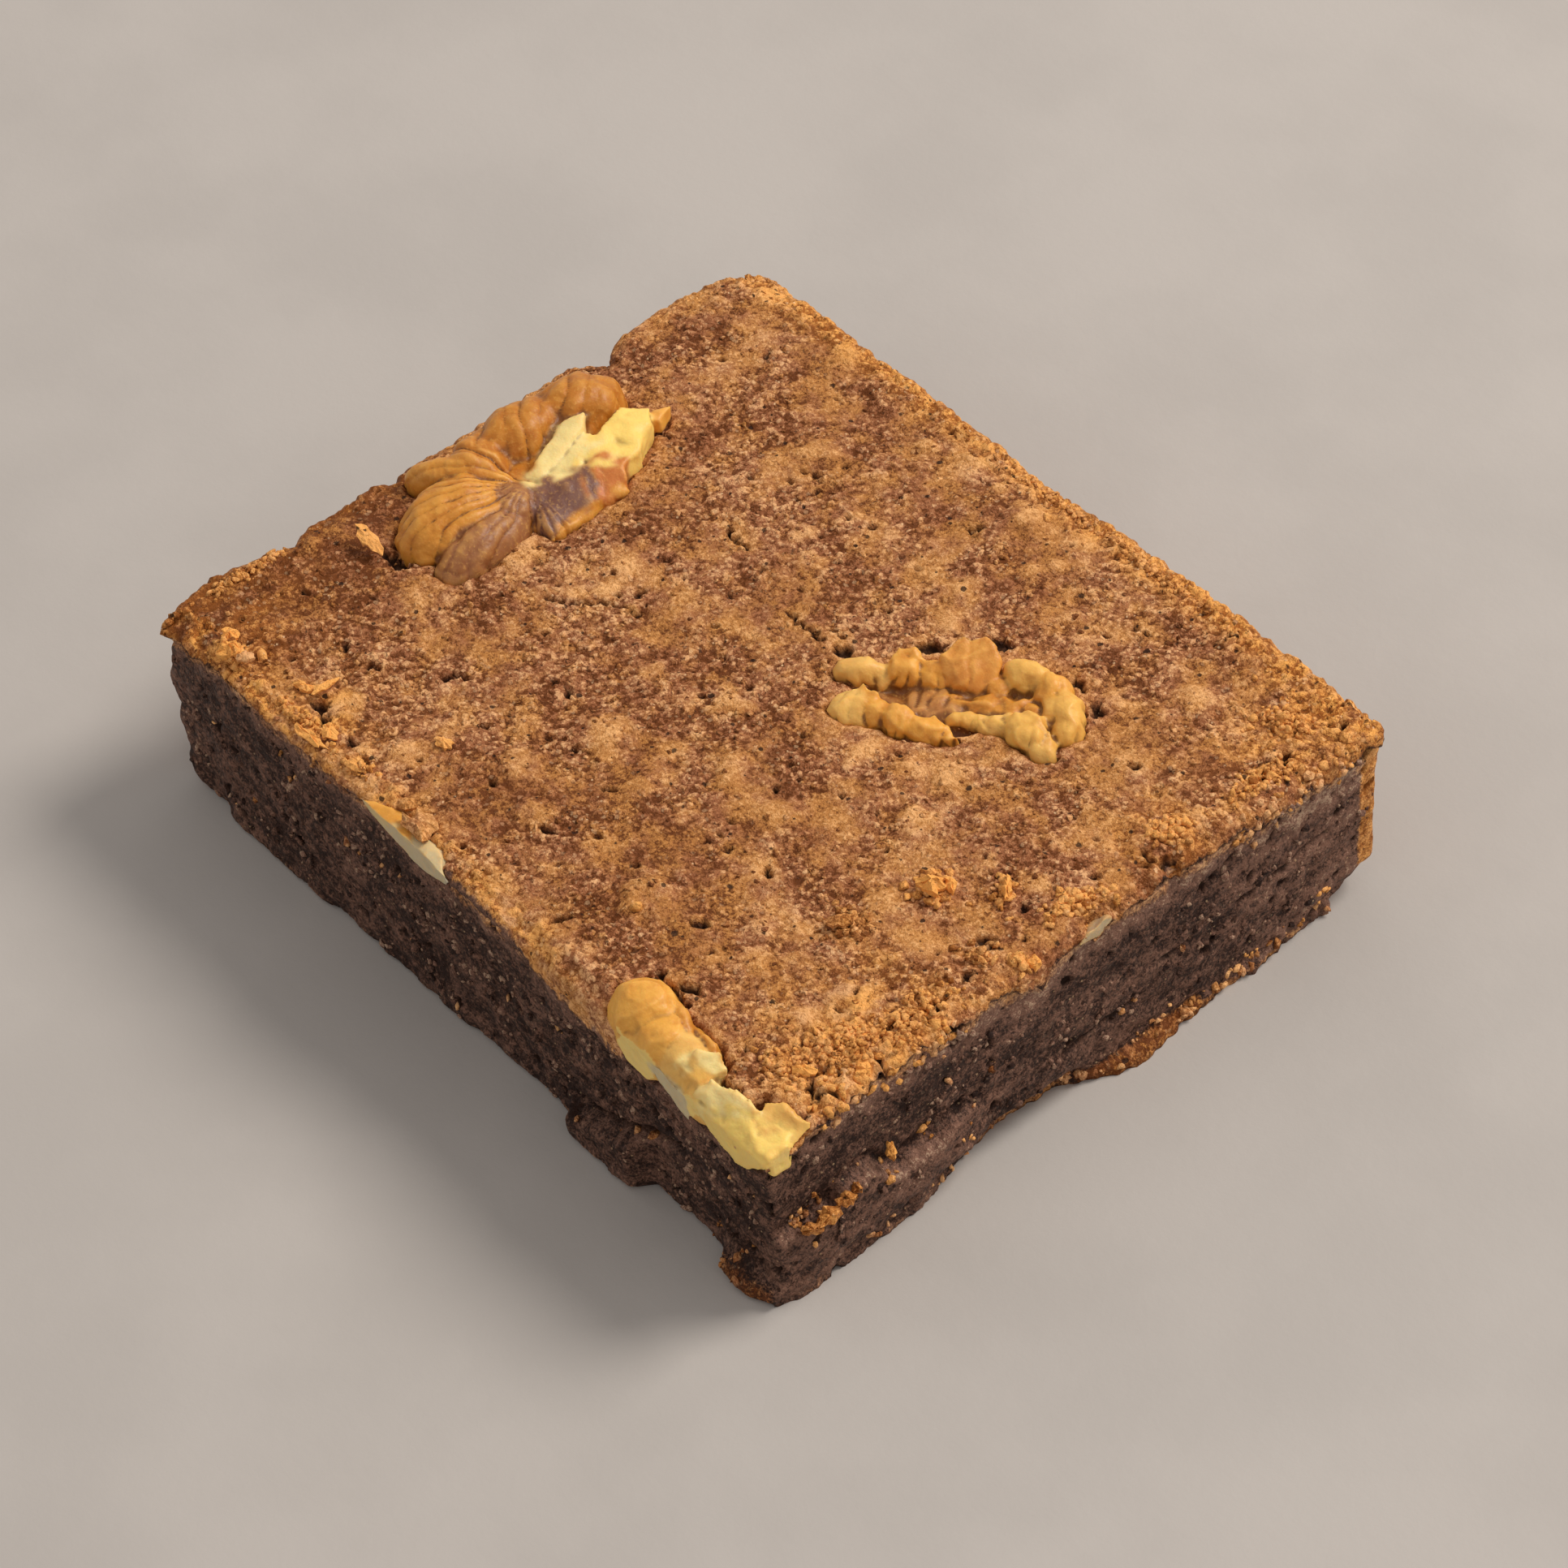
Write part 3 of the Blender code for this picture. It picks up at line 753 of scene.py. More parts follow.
def piece_at_side():
    """A thin slice that shows in the front cut, under a film of crust."""
    shards = [
        Shard("golden", ((-10.8, -33.2, 19.1), (-8.6, -31.6, 19.2), (-5.4, -30.8, 18.7),
                         (-9.4, -33.2, 18.2), (-5, -33.2, 17.2), (-6, -30.8, 17.4),
                         (-4.4, -33.2, 18.9))),
        Shard("film", ((-6.4, -33.2, 19), (-5.4, -31.4, 19.1), (-1.4, -31.6, 19),
                         (1.2, -33.2, 18.4), (-5.6, -33.2, 17.2), (-2.6, -33.2, 16.8),
                         (0.4, -33.2, 17.3), (-3, -31, 17.4))),
    ]
    return [Lobe(-4.4, -31.8, 17.9, 8, 3, 1.8, 0, "film")], shards


def sliver_at_side():
    """A small slice that shows at the rim of the right cut."""
    shards = [
        Shard("dull", ((40.5, -0.8, 17.5), (40.4, 0.4, 18.2), (40.3, 2.6, 18.7), (40.3, 3.4, 18.2),
                       (40.4, 1.8, 17.2), (39.6, 0.6, 17.9), (39.5, 2.8, 18.5),
                       (39.4, 2.2, 17.4))),
    ]
    return [Lobe(39.7, 2, 17.8, 1.2, 3, 1.1, 0, "dull")], shards


def lobe_frame(lobe):
    """Turns a lobe's ball of radius 1 into its place and size, in millimetres."""
    size = Matrix.Diagonal((lobe.length / 2, lobe.width / 2, lobe.height / 2, 1))
    turn = Matrix.Rotation(math.radians(lobe.turn), 4, "Z")
    return Matrix.Translation((lobe.x, lobe.y, lobe.z)) @ turn @ size


def shard_planes(shard):
    """The outward normals and levels of the flat sides of a shard."""
    bm = bmesh.new()
    add_shard(bm, shard)
    planes = [(face.normal.copy(), face.normal.dot(face.verts[0].co)) for face in bm.faces]
    bm.free()
    return np.array([normal for normal, _ in planes]), np.array([level for _, level in planes])


def add_shard(bm, shard):
    """Adds the flat-sided hull over a shard's corners."""
    corners = [bm.verts.new(corner) for corner in shard.corners]
    hull = bmesh.ops.convex_hull(bm, input=corners)
    spare = set(hull["geom_interior"] + hull["geom_unused"])
    bmesh.ops.delete(bm, geom=[v for v in spare if isinstance(v, bmesh.types.BMVert)])
    bm.normal_update()


def kernel_skin(lobes, shards, detail, softening):
    """One closed skin over lobes and shards that overlap, in millimetres."""
    bm = bmesh.new()
    for lobe in lobes:
        bmesh.ops.create_icosphere(bm, subdivisions=4, radius=1, matrix=lobe_frame(lobe))
    for shard in shards:
        own = bmesh.new()
        add_shard(own, shard)
        hull = bpy.data.meshes.new("hull")
        own.to_mesh(hull)
        own.free()
        bm.from_mesh(hull)
        bpy.data.meshes.remove(hull)
    bmesh.ops.recalc_face_normals(bm, faces=bm.faces)
    mesh = bpy.data.meshes.new("kernel")
    bm.to_mesh(mesh)
    bm.free()
    obj = bpy.data.objects.new("kernel", mesh)
    bpy.context.scene.collection.objects.link(obj)
    remesh = obj.modifiers.new("one skin", "REMESH")
    remesh.mode = "VOXEL"
    remesh.voxel_size = detail
    smooth = obj.modifiers.new("soften", "SMOOTH")
    smooth.iterations = softening
    graph = bpy.context.evaluated_depsgraph_get()
    skin = bpy.data.meshes.new_from_object(obj.evaluated_get(graph))
    bpy.data.objects.remove(obj, do_unlink=True)
    bpy.data.meshes.remove(mesh)
    return skin


def distance_to(lobe, points):
    """Roughly how far each point is outside a lobe, in millimetres."""
    inverse = np.array(lobe_frame(lobe).inverted())
    inside = points @ inverse[:3, :3].T + inverse[:3, 3]
    radius = min(lobe.length, lobe.width, lobe.height) / 2
    return (np.linalg.norm(inside, axis=1) - 1) * radius


def finish_masks(lobes, shards, points):
    """The colour masks at each point, from the lobe or shard that it lies on."""
    away = [distance_to(lobe, points) for lobe in lobes]
    for shard in shards:
        normals, levels = shard_planes(shard)
        away.append((points @ normals.T - levels).max(1) - 0.15)
    wander = [0.35 * rough(points, 1.6, 2, 50 + index) for index in range(len(away))]
    nearest = np.argmin(np.abs(np.array(away)) + np.array(wander), axis=0)
    table = np.array([FINISHES[piece.finish] for piece in (*lobes, *shards)])
    return table[nearest]


def creased(value, at, reach):
    """A narrow groove, 1 deep at one place."""
    return np.exp(-np.abs(value - at) / reach)


def edge_half_wrinkles(points):
    """Creases that run out from the navel of the half at the edge, and folds over its ridge."""
    across, along = points[:, 0] - NAVEL[0], points[:, 1] - NAVEL[1]
    out = np.hypot(across, along)
    angle = np.degrees(np.arctan2(along, across)) % 360 + 5 * swell(points, 3.5, 3)
    fan = hill(angle, 200, 420, 8) * ramp(out, 0.5, 2.5)
    lines = 0.34 * (creased(angle, 231, 2.5) + creased(angle, 272, 3.0))
    lines += 0.17 * sum(creased(angle, at, 1.6) for at in
                        (207, 219, 240, 248, 256, 264, 281, 290, 300, 318, 333, 345, 357, 370, 384))
    lines += 0.5 * creased(angle, 203, 3.0)
    slant = points[:, 1] + 0.7 * (points[:, 0] + 34) + 1.2 * swell(points, 5.0, 5)
    ridge = (1 - ramp(points[:, 0], -31.5, -30)) * ramp(points[:, 1], -4, -1)
    folds = sum(depth * creased(slant, at, 0.4) for at, depth in
                ((-1.9, 0.35), (0.8, 0.14), (3.0, 0.26), (5.4, 0.12), (7.4, 0.24), (9.6, 0.14)))
    return -fan * lines - ridge * folds + 0.12 * fan


def middle_half_wrinkles(points):
    """Fine creases that run across the two rows of lobes."""
    along, _ = turned(points[:, 0], points[:, 1], *MIDDLE_NUT, 40)
    phase = along / 1.25 + 0.5 * swell(points, 2.4, 72)
    lines = np.exp(-(((phase % 1 - 0.5) / 0.2) ** 2))
    return -0.16 * lines * ramp(swell(points, 2.6, 73), -0.4, 0.5)


def kernel_relief(points, flesh, folds, wrinkles):
    """How far the skin stands out: bumps, veins and papery folds, with grain on bare flesh."""
    veins = ridges(points, 2.0, 11) ** 2
    rise = 0.24 * rough(points, 2.6, 2, 21) + 0.07 * (0.4 - veins) * (1 - flesh)
    rise += 0.06 * flesh * (grains(points, 1.1, 9)[0] - 0.5)
    papery = ridges(points, 3.4, 61) ** 2 + 0.3 * ridges(points, 1.5, 62) ** 2
    rise += folds * (papery - 0.3)
    if wrinkles:
        rise += wrinkles(points) * (1 - flesh)
    return rise


def cut_flat(points, masks, cut_grey):
    """Ends a piece where the knife went through it, and bares its flesh there."""
    beyond = (points[:, 1] < KNIFE_Y) | (points[:, 0] > KNIFE_X)
    points[:, 1] = np.maximum(points[:, 1], KNIFE_Y - 0.05 * swell(points, 0.9, 2))
    points[:, 0] = np.minimum(points[:, 0], KNIFE_X + 0.05 * swell(points, 0.9, 3))
    masks[beyond, MASKS.index("flesh")] = 1
    masks[beyond, MASKS.index("grey")] += cut_grey


def crests(points, normals, edges, depth, top_light):
    """A mask of painted light: 1 on the crests for painted highlights and 0 in the folds for painted
    shade, higher where the piece stands high.
    """
    wide = ((averaged(points, edges, 26) - points) * normals).sum(1)
    close = ((averaged(points, edges, 5) - points) * normals).sum(1)
    painted_relief_light = 0.5 - depth * (1.5 * wide + 4.0 * close)
    return painted_relief_light + top_light * np.clip(points[:, 2] - 19.7, -1.4, 1.4)


def dress_kernel(name, parts, material, settings, wrinkles=None, knife=False, softening=4,
                 uneven=0.3, cut_grey=0.3, folds=0.0, depth=1.0, top_light=0.0):
    """Builds one walnut piece: its skin, its veins and wrinkles, its knife cuts and its masks."""
    lobes, shards = parts
    skin = kernel_skin(lobes, shards, settings.walnut_detail / MM, softening)
    points, edges = mesh_points(skin), mesh_edges(skin)
    masks = averaged(finish_masks(lobes, shards, points), edges, 4)
    rise = kernel_relief(points, masks[:, MASKS.index("flesh")], folds, wrinkles)
    bend = np.stack([rough(points, 3.0, 2, 36 + axis) for axis in range(3)], 1)
    points += mesh_normals(skin) * rise[:, None] + uneven * bend
    if knife:
        cut_flat(points, masks, cut_grey)
    move_points(skin, points)
    # Painted light and shade from the shape: lighter crests, darker folds, lighter where the piece
    # stands high.
    painted_relief_light = crests(points, mesh_normals(skin), edges, depth, top_light)
    faces = [tuple(face.vertices) for face in skin.polygons]
    bpy.data.meshes.remove(skin)
    obj = mesh_object(name, points, faces, material)
    add_masks(obj, dict(zip(MASKS, masks.T)) | {"painted_relief_light": painted_relief_light})
    return obj


# --------------------------------------
# The slab


# Where each rim stands out past its nominal line, or lies back from it: (how far, place, reach).
LEFT_RIM = ((0.9, -26, 3.6), (-1.0, -18.7, 1.3), (-0.8, -32, 1.0), (0.3, -10, 1.4),
            (-0.7, -7.6, 0.9), (-2.1, 15, 1.5), (0.5, 23.5, 2.8))
FRONT_RIM = ((-0.5, -37.5, 1.6), (-0.35, -31, 1.6), (0.15, -24, 3))
RIGHT_RIM = ((-0.5, 10.2, 0.9), (-0.35, -21, 1.5), (0.2, 20, 5))
# The same for the left edge of the front cut, going up.
LEFT_END = ((-1.9, 16.8, 0.7), (-0.5, 14.5, 1.6), (0.5, 12, 1.6), (0.4, 7, 0.9), (-0.3, 9, 0.8),
            (-0.5, 4, 1.2))


def bumps(value, rows):
    """The sum of several bells, each (height, place, reach)."""
    return sum(height * bell(value, at, reach) for height, at, reach in rows)


def left_rim(y):
    """How far the left rim stands out past its nominal line, as for the other rims."""
    return bumps(y, LEFT_RIM) - 0.15


def back_rim(x):
    return 0.35 + 0.55 * ramp(x, 0, 10) - 0.3 * bell(x, -3, 2.0)


def front_rim(x):
    return 0.1 + bumps(x, FRONT_RIM)


def right_rim(y):
    return bumps(y, RIGHT_RIM)


def swells(x, y):
    """How far the top rises and sinks in broad, soft waves."""
    rise = np.zeros(len(x))
    for depth, spacing in TOP_SWELLS:
        rise += [depth * noise.noise(Vector((a / spacing, b / spacing, 0))) for a, b in zip(x, y)]
    return rise


def to_sides(x, y):
    """How far each point lies inside the left, right, front and back sides."""
    return x + HALF_LENGTH, HALF_LENGTH - x, y + HALF_WIDTH, HALF_WIDTH - y


def near_sides(x, y, reaches):
    """1 at the left, right, front and back sides, fading to 0 so far inside each."""
    return [1 - ramp(away, 0, reach) for away, reach in zip(to_sides(x, y), reaches)]


def round_pan_corner(x, y):
    """Turns the square corner between the two pan sides into a round one."""
    across = (PAN_CORNER_ROUND - HALF_LENGTH) - x
    along = y - (HALF_WIDTH - PAN_CORNER_ROUND)
    corner = (across > 0) & (along > 0)
    inward = np.where(corner, np.maximum(across, along) / np.maximum(np.hypot(across, along), 1e-9), 1)
    new_x = np.where(corner, (PAN_CORNER_ROUND - HALF_LENGTH) - across * inward, x)
    new_y = np.where(corner, (HALF_WIDTH - PAN_CORNER_ROUND) + along * inward, y)
    return new_x, new_y


def plan(x, y):
    """Moves the points of a plain rectangle to the slab's real outline, seen from above."""
    near_left, near_right, near_front, near_back = near_sides(x, y, (5, 3, 3, 5))
    new_x, new_y = round_pan_corner(x, y)
    flat = np.stack([x, y], 1)
    jag = 0.16 * rough(flat, 1.6, 3, 71)
    new_x = new_x - near_left * (left_rim(y) - EDGE_ROLL + jag)
    new_x = new_x + near_right * (right_rim(y) - EDGE_ROLL + 1.4 * jag)
    new_y = new_y - near_front * (front_rim(x) - EDGE_ROLL + jag)
    new_y = new_y + near_back * (back_rim(x) - EDGE_ROLL + jag)
    return new_x, new_y


def right_rim_drop(x, y):
    """How far the crumbled rim of the right cut lies under the rest of the crust."""
    spots = np.column_stack([x, y, np.full(len(x), HEIGHT)])
    return 0.3 + 0.8 * ramp(rough(spots, 2.2, 3, 49), -0.1, 0.6)


def turned(x, y, at_x, at_y, turn):
    """Distances along and across a line through a place, turned by so many degrees."""
    angle = math.radians(turn)
    along = (x - at_x) * math.cos(angle) + (y - at_y) * math.sin(angle)
    across = (y - at_y) * math.cos(angle) - (x - at_x) * math.sin(angle)
    return along, across


def dome_marks(x, y, count):
    """The rise of the smooth blisters, and a mask of where they are."""
    chance = np.random.default_rng(5)
    marks = list(DOMES)
    for _ in range(count):
        marks.append((chance.uniform(-38, 38), chance.uniform(-30, 31), chance.uniform(0.9, 2.2),
                      chance.uniform(0.08, 0.24)))
    rise = np.zeros(len(x))
    cover = np.zeros(len(x))
    flat = np.stack([x, y], 1)
    uneven = 0.35 * swell(flat, 1.5, 17) + 0.3 * swell(flat, 3.5, 18)
    for at_x, at_y, radius, height in marks:
        away = np.hypot(x - at_x, y - at_y) / radius + uneven
        here = 1 - ramp(away, 0.2, 1.1)
        rise = np.maximum(rise, height * here)
        cover = np.maximum(cover, here)
    return rise, cover


def pit_marks(x, y, count):
    """A mask of the small dark holes in the crust."""
    chance = np.random.default_rng(8)
    marks = list(PITS)
    for index in range(count):
        length = chance.uniform(0.35, 0.9) if index % 7 else chance.uniform(0.9, 1.8)
        slim = chance.uniform(0.35, 0.9) if index % 7 else chance.uniform(0.2, 0.5)
        marks.append((chance.uniform(-39, 39), chance.uniform(-31, 32), length, length * slim,
                      chance.uniform(0, 180)))
    for _ in range(count // 8):
        length = chance.uniform(0.7, 1.9)
        marks.append((chance.uniform(36.5, 39.4), chance.uniform(-31, 31), length,
                      length * chance.uniform(0.4, 0.8), chance.uniform(50, 130)))
    flat = np.stack([x, y], 1)
    uneven = 0.6 * swell(flat, 0.8, 23) + 0.5 * swell(flat, 0.4, 29)
    cover = np.zeros(len(x))
    for at_x, at_y, length, width, turn in marks:
        near = np.flatnonzero((np.abs(x - at_x) < length) & (np.abs(y - at_y) < length))
        along, across = turned(x[near], y[near], at_x, at_y, turn)
        away = np.hypot(2 * along / length, 2 * across / width) + uneven[near]
        cover[near] = np.maximum(cover[near], 1 - ramp(away, 0.6, 0.95))
    return cover


def crack_marks(x, y):
    """A mask of the fine cracks."""
    flat = np.stack([x, y], 1)
    whole = ramp(swell(flat, 1.6, 35), -0.45, -0.1)
    x = x + 0.35 * swell(flat, 0.9, 33) + 0.2 * swell(flat, 0.4, 36)
    y = y + 0.35 * swell(flat, 0.9, 34) + 0.2 * swell(flat, 0.4, 37)
    cover = np.zeros(len(x))
    for line in CRACKS:
        for start, end in zip(line, line[1:]):
            dx, dy = end[0] - start[0], end[1] - start[1]
            share = ((x - start[0]) * dx + (y - start[1]) * dy) / (dx * dx + dy * dy)
            share = np.clip(share, 0, 1)
            away = np.hypot(x - start[0] - share * dx, y - start[1] - share * dy)
            cover = np.maximum(cover, 1 - ramp(away, 0.04, 0.24))
    return cover * whole


def walnut_cover(tree, x, y):
    """How high a walnut stands over each point, or -1 where there is none."""
    level = np.full(len(x), -1.0)
    down = Vector((0, 0, -1))
    for index in range(len(x)):
        hit, _, _, _ = tree.ray_cast(Vector((x[index], y[index], FAR_UP)), down)
        if hit:
            level[index] = hit.z
    return level


def grid_average(values, rounds):
    """Averages a grid of values with its neighbours, so many rounds over."""
    for _ in range(rounds):
        padded = np.pad(values, 1, mode="edge")
        values = (padded[2:, 1:-1] + padded[:-2, 1:-1] + padded[1:-1, 2:] + padded[1:-1, :-2]
                  + 2 * values) / 6
    return values


def front_band(x):
    """How far the golden crust comes down the front cut."""
    down = 0.7 + 0.9 * bell(x, -37.5, 2.0) + 0.4 * ramp(x, -11, -6) + 1.0 * ramp(x, 4, 10)
    down += 1.6 * ramp(x, 10, 17) + 0.6 * ramp(x, 17, 21) - 1.6 * ramp(x, 22, 26)
    return down - 1.5 * ramp(x, 32, 37)


def right_band(y):
    """How far the golden crust comes down the right cut."""
    down = 0.9 + 0.5 * bell(y, -11, 2.5) + 1.9 * bell(y, -4.5, 2.2) + 0.3 * ramp(y, 10, 15)
    return down + 1.1 * ramp(y, 15, 20)


def band_depth(x, y):
    """How far the golden crust comes down at each place on the outline."""
    along = np.stack([x, y], 1)
    front = np.abs(y + HALF_WIDTH) < 1.4
    right = np.abs(x - HALF_LENGTH) < 1.4
    depth = np.full(len(x), 2.6)
    depth = np.where(right, right_band(y) * (1 + 0.9 * rough(along, 1.8, 4, 61)), depth)
    depth = np.where(front, front_band(x) * (1 + 0.5 * rough(along, 2.4, 4, 62)), depth)
    return np.clip(depth, 0.35, 5.5)


def outward(loop):
    """The outward direction at each point of a closed loop that runs anticlockwise."""
    ahead = np.roll(loop, -3, 0) - np.roll(loop, 3, 0)
    normal = np.stack([ahead[:, 1], -ahead[:, 0]], 1)
    return normal / np.maximum(np.linalg.norm(normal, axis=1), 1e-9)[:, None]


# Where the crust is most golden: (x, y, reach, share).
GOLDEN_PATCHES = ((37, -20, 8, 1), (36, 27, 5, 1), (37, 12, 4, 0.8), (-20, -29.5, 5, 0.8),
                  (-34, -28, 6, 0.6))


def round_patch(x, y, at_x, at_y, reach):
    """1 at one place on the top, fading to almost nothing at twice the reach."""
    return bell(np.hypot(x - at_x, y - at_y), 0, reach)


def tone_of_top(spots, smooth=0):
    """How light the crust is: lighter on blisters, at the rims and at the two right corners,
    and darker on the left and toward the front."""
    x, y = spots[:, 0], spots[:, 1]
    tone = 0.45 + 0.30 * rough(spots, 9, 2, 41) + 0.22 * rough(spots, 3.2, 3, 43) + 0.18 * smooth
    near_corner, right_corner = round_patch(x, y, 36, -22, 7), round_patch(x, y, 35, 28, 6)
    rims = 1 - ramp(np.minimum(HALF_WIDTH - y, HALF_LENGTH - x), 0.5, 4.0)
    left = ramp(-x, 24, 36) * (1 - ramp(y, -12, 4))
    back = ramp(y - x, 38, 66)
    front = round_patch(x, y, 10, -22, 13)
    tone += 0.28 * near_corner + 0.06 * right_corner + 0.02 * rims - 0.44 * left - 0.03 * back
    tone += 0.22 * (1 - ramp(y + HALF_WIDTH, 0.8, 4)) - 0.18 * front
    return tone


def gold_of_top(spots):
    """Where the crust turns yellow-orange: its rims and the crumbly corners."""
    x, y = spots[:, 0], spots[:, 1]
    patches = rough(spots, 1.8, 3, 47)
    near = sum(share * round_patch(x, y, *patch) for *patch, share in GOLDEN_PATCHES)
    near = near + 0.8 * (1 - ramp(y + HALF_WIDTH, 0.8, 4.2)) * (1 - ramp(x, 10, 20))
    rim = 1 - ramp(HALF_WIDTH - y, 0.5, 4.0)
    rim = np.maximum(rim, 0.5 * (1 - ramp(x + HALF_LENGTH, 0.3, 3.0)))
    return np.clip(near * ramp(patches, -0.35, 0.3) + 0.9 * rim * ramp(patches, -0.7, 0.2), 0, 1)


def crust_grid(detail):
    """The points of a plain rectangle over the top: their x and y, and the rows and columns."""
    halves = (HALF_LENGTH, HALF_WIDTH)
    shape = tuple(round(2 * half * MM / detail) + 1 for half in halves)
    lines = [np.linspace(-half, half, count) for half, count in zip(halves, shape)]
    x, y = np.meshgrid(*lines, indexing="ij")
    return x.ravel(), y.ravel(), shape


def crust_grains(spots, gritty, gold):
    """How high the coarse and fine grains of the crust stand, and each fine grain's number."""
    coarse, _, plateau = grains(spots, 1.25, 1)
    sway = [swell(spots, 0.6, 81), swell(spots, 0.6, 82), np.zeros(len(spots))]
    fine, _, number = grains(spots + 0.12 * np.stack(sway, 1), 0.52, 2)
    rise = 0.22 * rough(spots, 2.4, 3, 45) + 0.18 * gritty * (0.6 - coarse)
    rise += 0.14 * gritty * (plateau - 0.5)
    rise += 0.26 * gritty * (0.55 - fine) + 0.26 * gritty * (number - 0.5)
    rise += gold * (0.5 * (plateau - 0.6) + 0.3 * (number - 0.5))
    return rise, number


def rim_fall(x, y, to_left, to_right, to_front, to_back):
    """How far the top falls off at its four rims."""
    drop = right_rim_drop(x, y)
    fall = 0.35 * (1 - ramp(np.minimum(to_left, to_back), 0, 1.4))
    fall += (0.35 + 0.5 * hill(x, 9, 21, 4)) * (1 - ramp(to_front, 0, 1.6))
    return fall + drop * (1 - ramp(to_right, 0, 1.8 * drop))


def sunk_at_walnuts(spots, height, shape):
    """The height of the crust once it runs under the walnuts, and a mask of the groove there."""
    x, y = spots[:, 0], spots[:, 1]
    level = walnut_cover(tree_of(WALNUTS), x, y)
    from_middle = np.hypot(x - MIDDLE_NUT[0], y - MIDDLE_NUT[1])
    sunken = ((x > 20) & (y < -26)) | (from_middle < 12)
    bared = np.where(sunken, 1.6, 0.25)
    under = (level > height - bared).astype(float)
    beside = grid_average(under.reshape(shape), 3).ravel()
    groove = beside * (1 - under) * ramp(rough(spots, 2.0, 2, 53), -0.5, 0.3)
    height = height - 1.3 * groove
    return np.where(under > 0, np.minimum(height - 0.5, level - 0.6), height), groove


def make_crust(settings, material):
    """The golden top: waves, blisters, grains, pits and cracks, and a ragged rolled rim."""
    flat_x, flat_y, shape = crust_grid(settings.crust_detail)
    x, y = plan(flat_x, flat_y)
    spots = np.stack([x, y, np.full(len(x), HEIGHT)], 1)
    from_sides = to_sides(flat_x, flat_y)
    inside = ramp(np.min(from_sides, axis=0), 0, 1.8)

    rise, smooth = dome_marks(x, y, settings.dome_count)
    pits = np.maximum(pit_marks(x, y, settings.pit_count), crack_marks(x, y))
    patches = ramp(rough(spots, *GRIT_PATCHES), -0.35, 0.35)
    gold = gold_of_top(spots)
    gritty = (1 - 0.8 * smooth) * (0.25 + 0.75 * np.maximum(patches, gold))
    grain_rise, number = crust_grains(spots, gritty, gold)
    height = HEIGHT + swells(x, y) + 1.3 * rise + grain_rise - 0.9 * pits
    height, groove = sunk_at_walnuts(spots, height - rim_fall(x, y, *from_sides), shape)

    # Painted shade: a mask that darkens the dips, the pits, the cracks and the grooves round the
    # walnuts.
    broad = grid_average(height.reshape(shape), 14).ravel()
    close = grid_average(height.reshape(shape), 2).ravel()
    cavity = np.clip(0.8 * (broad - height), 0, 1) + np.clip(1.6 * (close - height), 0, 0.4)
    cavity *= inside
    cavity = np.maximum(cavity * (1 - 0.3 * smooth), np.maximum(pits, 0.8 * groove))
    # Painted light: lighter on the grains that stand higher and where the top stands above its
    # surroundings, darker in its dips; the rest is the crust's own tone.
    tone = tone_of_top(spots, smooth) + 0.4 * gritty * (number - 0.5)
    tone += 0.8 * inside * (height - broad) - 0.2 * (1 - gold) * (gritty - 0.5)

    index = np.arange(len(x)).reshape(shape)
    faces = np.stack([index[:-1, :-1], index[1:, :-1], index[1:, 1:], index[:-1, 1:]], -1)
    loop = np.concatenate([index[:-1, 0], index[-1, :-1], index[:0:-1, -1], index[0, :0:-1]])
    points = [np.stack([x, y, height], 1)]
    masks = {"tone": [tone], "gold": [gold], "cavity": [cavity], "grit": [gritty],
             "baked": [np.ones(len(x))]}
    faces = faces.reshape(-1, 4).tolist()
    add_band(points, masks, faces, loop)
    obj = mesh_object("crust_top", np.concatenate(points), faces, material)
    add_masks(obj, {name: np.concatenate(rows) for name, rows in masks.items()})
    return obj


def add_band(points, masks, faces, loop):
    """The rim: rows of points that roll over the edge and go down to a ragged lower border."""
    top = points[0][loop]
    out = outward(top[:, :2])
    depth = band_depth(top[:, 0], top[:, 1])
    cut = (np.abs(out[:, 0] - 1) < 0.3) | (np.abs(out[:, 1] + 1) < 0.3)
    proud = np.where(out[:, 0] > 0.7, 0.22, 0.10)
    crumbly = np.where(out[:, 0] > 0.7, 2.4, 1.2)
    previous = loop
    for row in range(1, BAND_ROWS + 1):
        share = row / BAND_ROWS
        down = depth * share
        roll = EDGE_ROLL * np.sin(np.minimum(down / 0.7, 1) * math.pi / 2)
        spots = np.column_stack([top[:, :2] + out * roll[:, None], top[:, 2] - down])
        lump = 0.16 * (0.5 - grains(spots, 0.8, 4)[0]) + 0.12 * rough(spots, 1.8, 3, 63)
        lump = crumbly * lump
        tuck = 0.45 * ramp(share, 0.8, 1.0)
        push = roll + (proud + lump) * min(3 * share, 1) - tuck
        here = np.column_stack([top[:, :2] + out * push[:, None], top[:, 2] - down])
        previous = add_ring(points, faces, here, previous, rising=False)
        early = 0.5 * hill(top[:, 0], 1, 9, 3) * (out[:, 1] < -0.7)
        flesh = 0.8 * ramp(share + early + 0.35 * rough(spots, 1.2, 3, 64), 0.35, 1.0)
        # Painted light and shade: lighter on the lumps of the rim, darker between them and at its
        # tucked lower edge.
        add_row(masks, len(loop), grit=0.6, baked=np.where(cut, 1 - flesh, 0.95),
                tone=tone_of_top(spots) - 0.12 * share + 0.8 * lump,
                gold=gold_of_top(spots) * (1 - 0.5 * share),
                cavity=0.35 * ramp(share, 0.8, 1.0) - 1.6 * lump - 0.1)
    for inward, level in ((1.6, None), (2.4, CRUST_FLOOR)):
        low = np.full(len(loop), level) if level else top[:, 2] - depth
        inner = np.column_stack([top[:, :2] - out * inward, low])
        previous = add_ring(points, faces, inner, previous, rising=False)
        add_row(masks, len(loop))
    faces.append(previous[::-1].tolist())


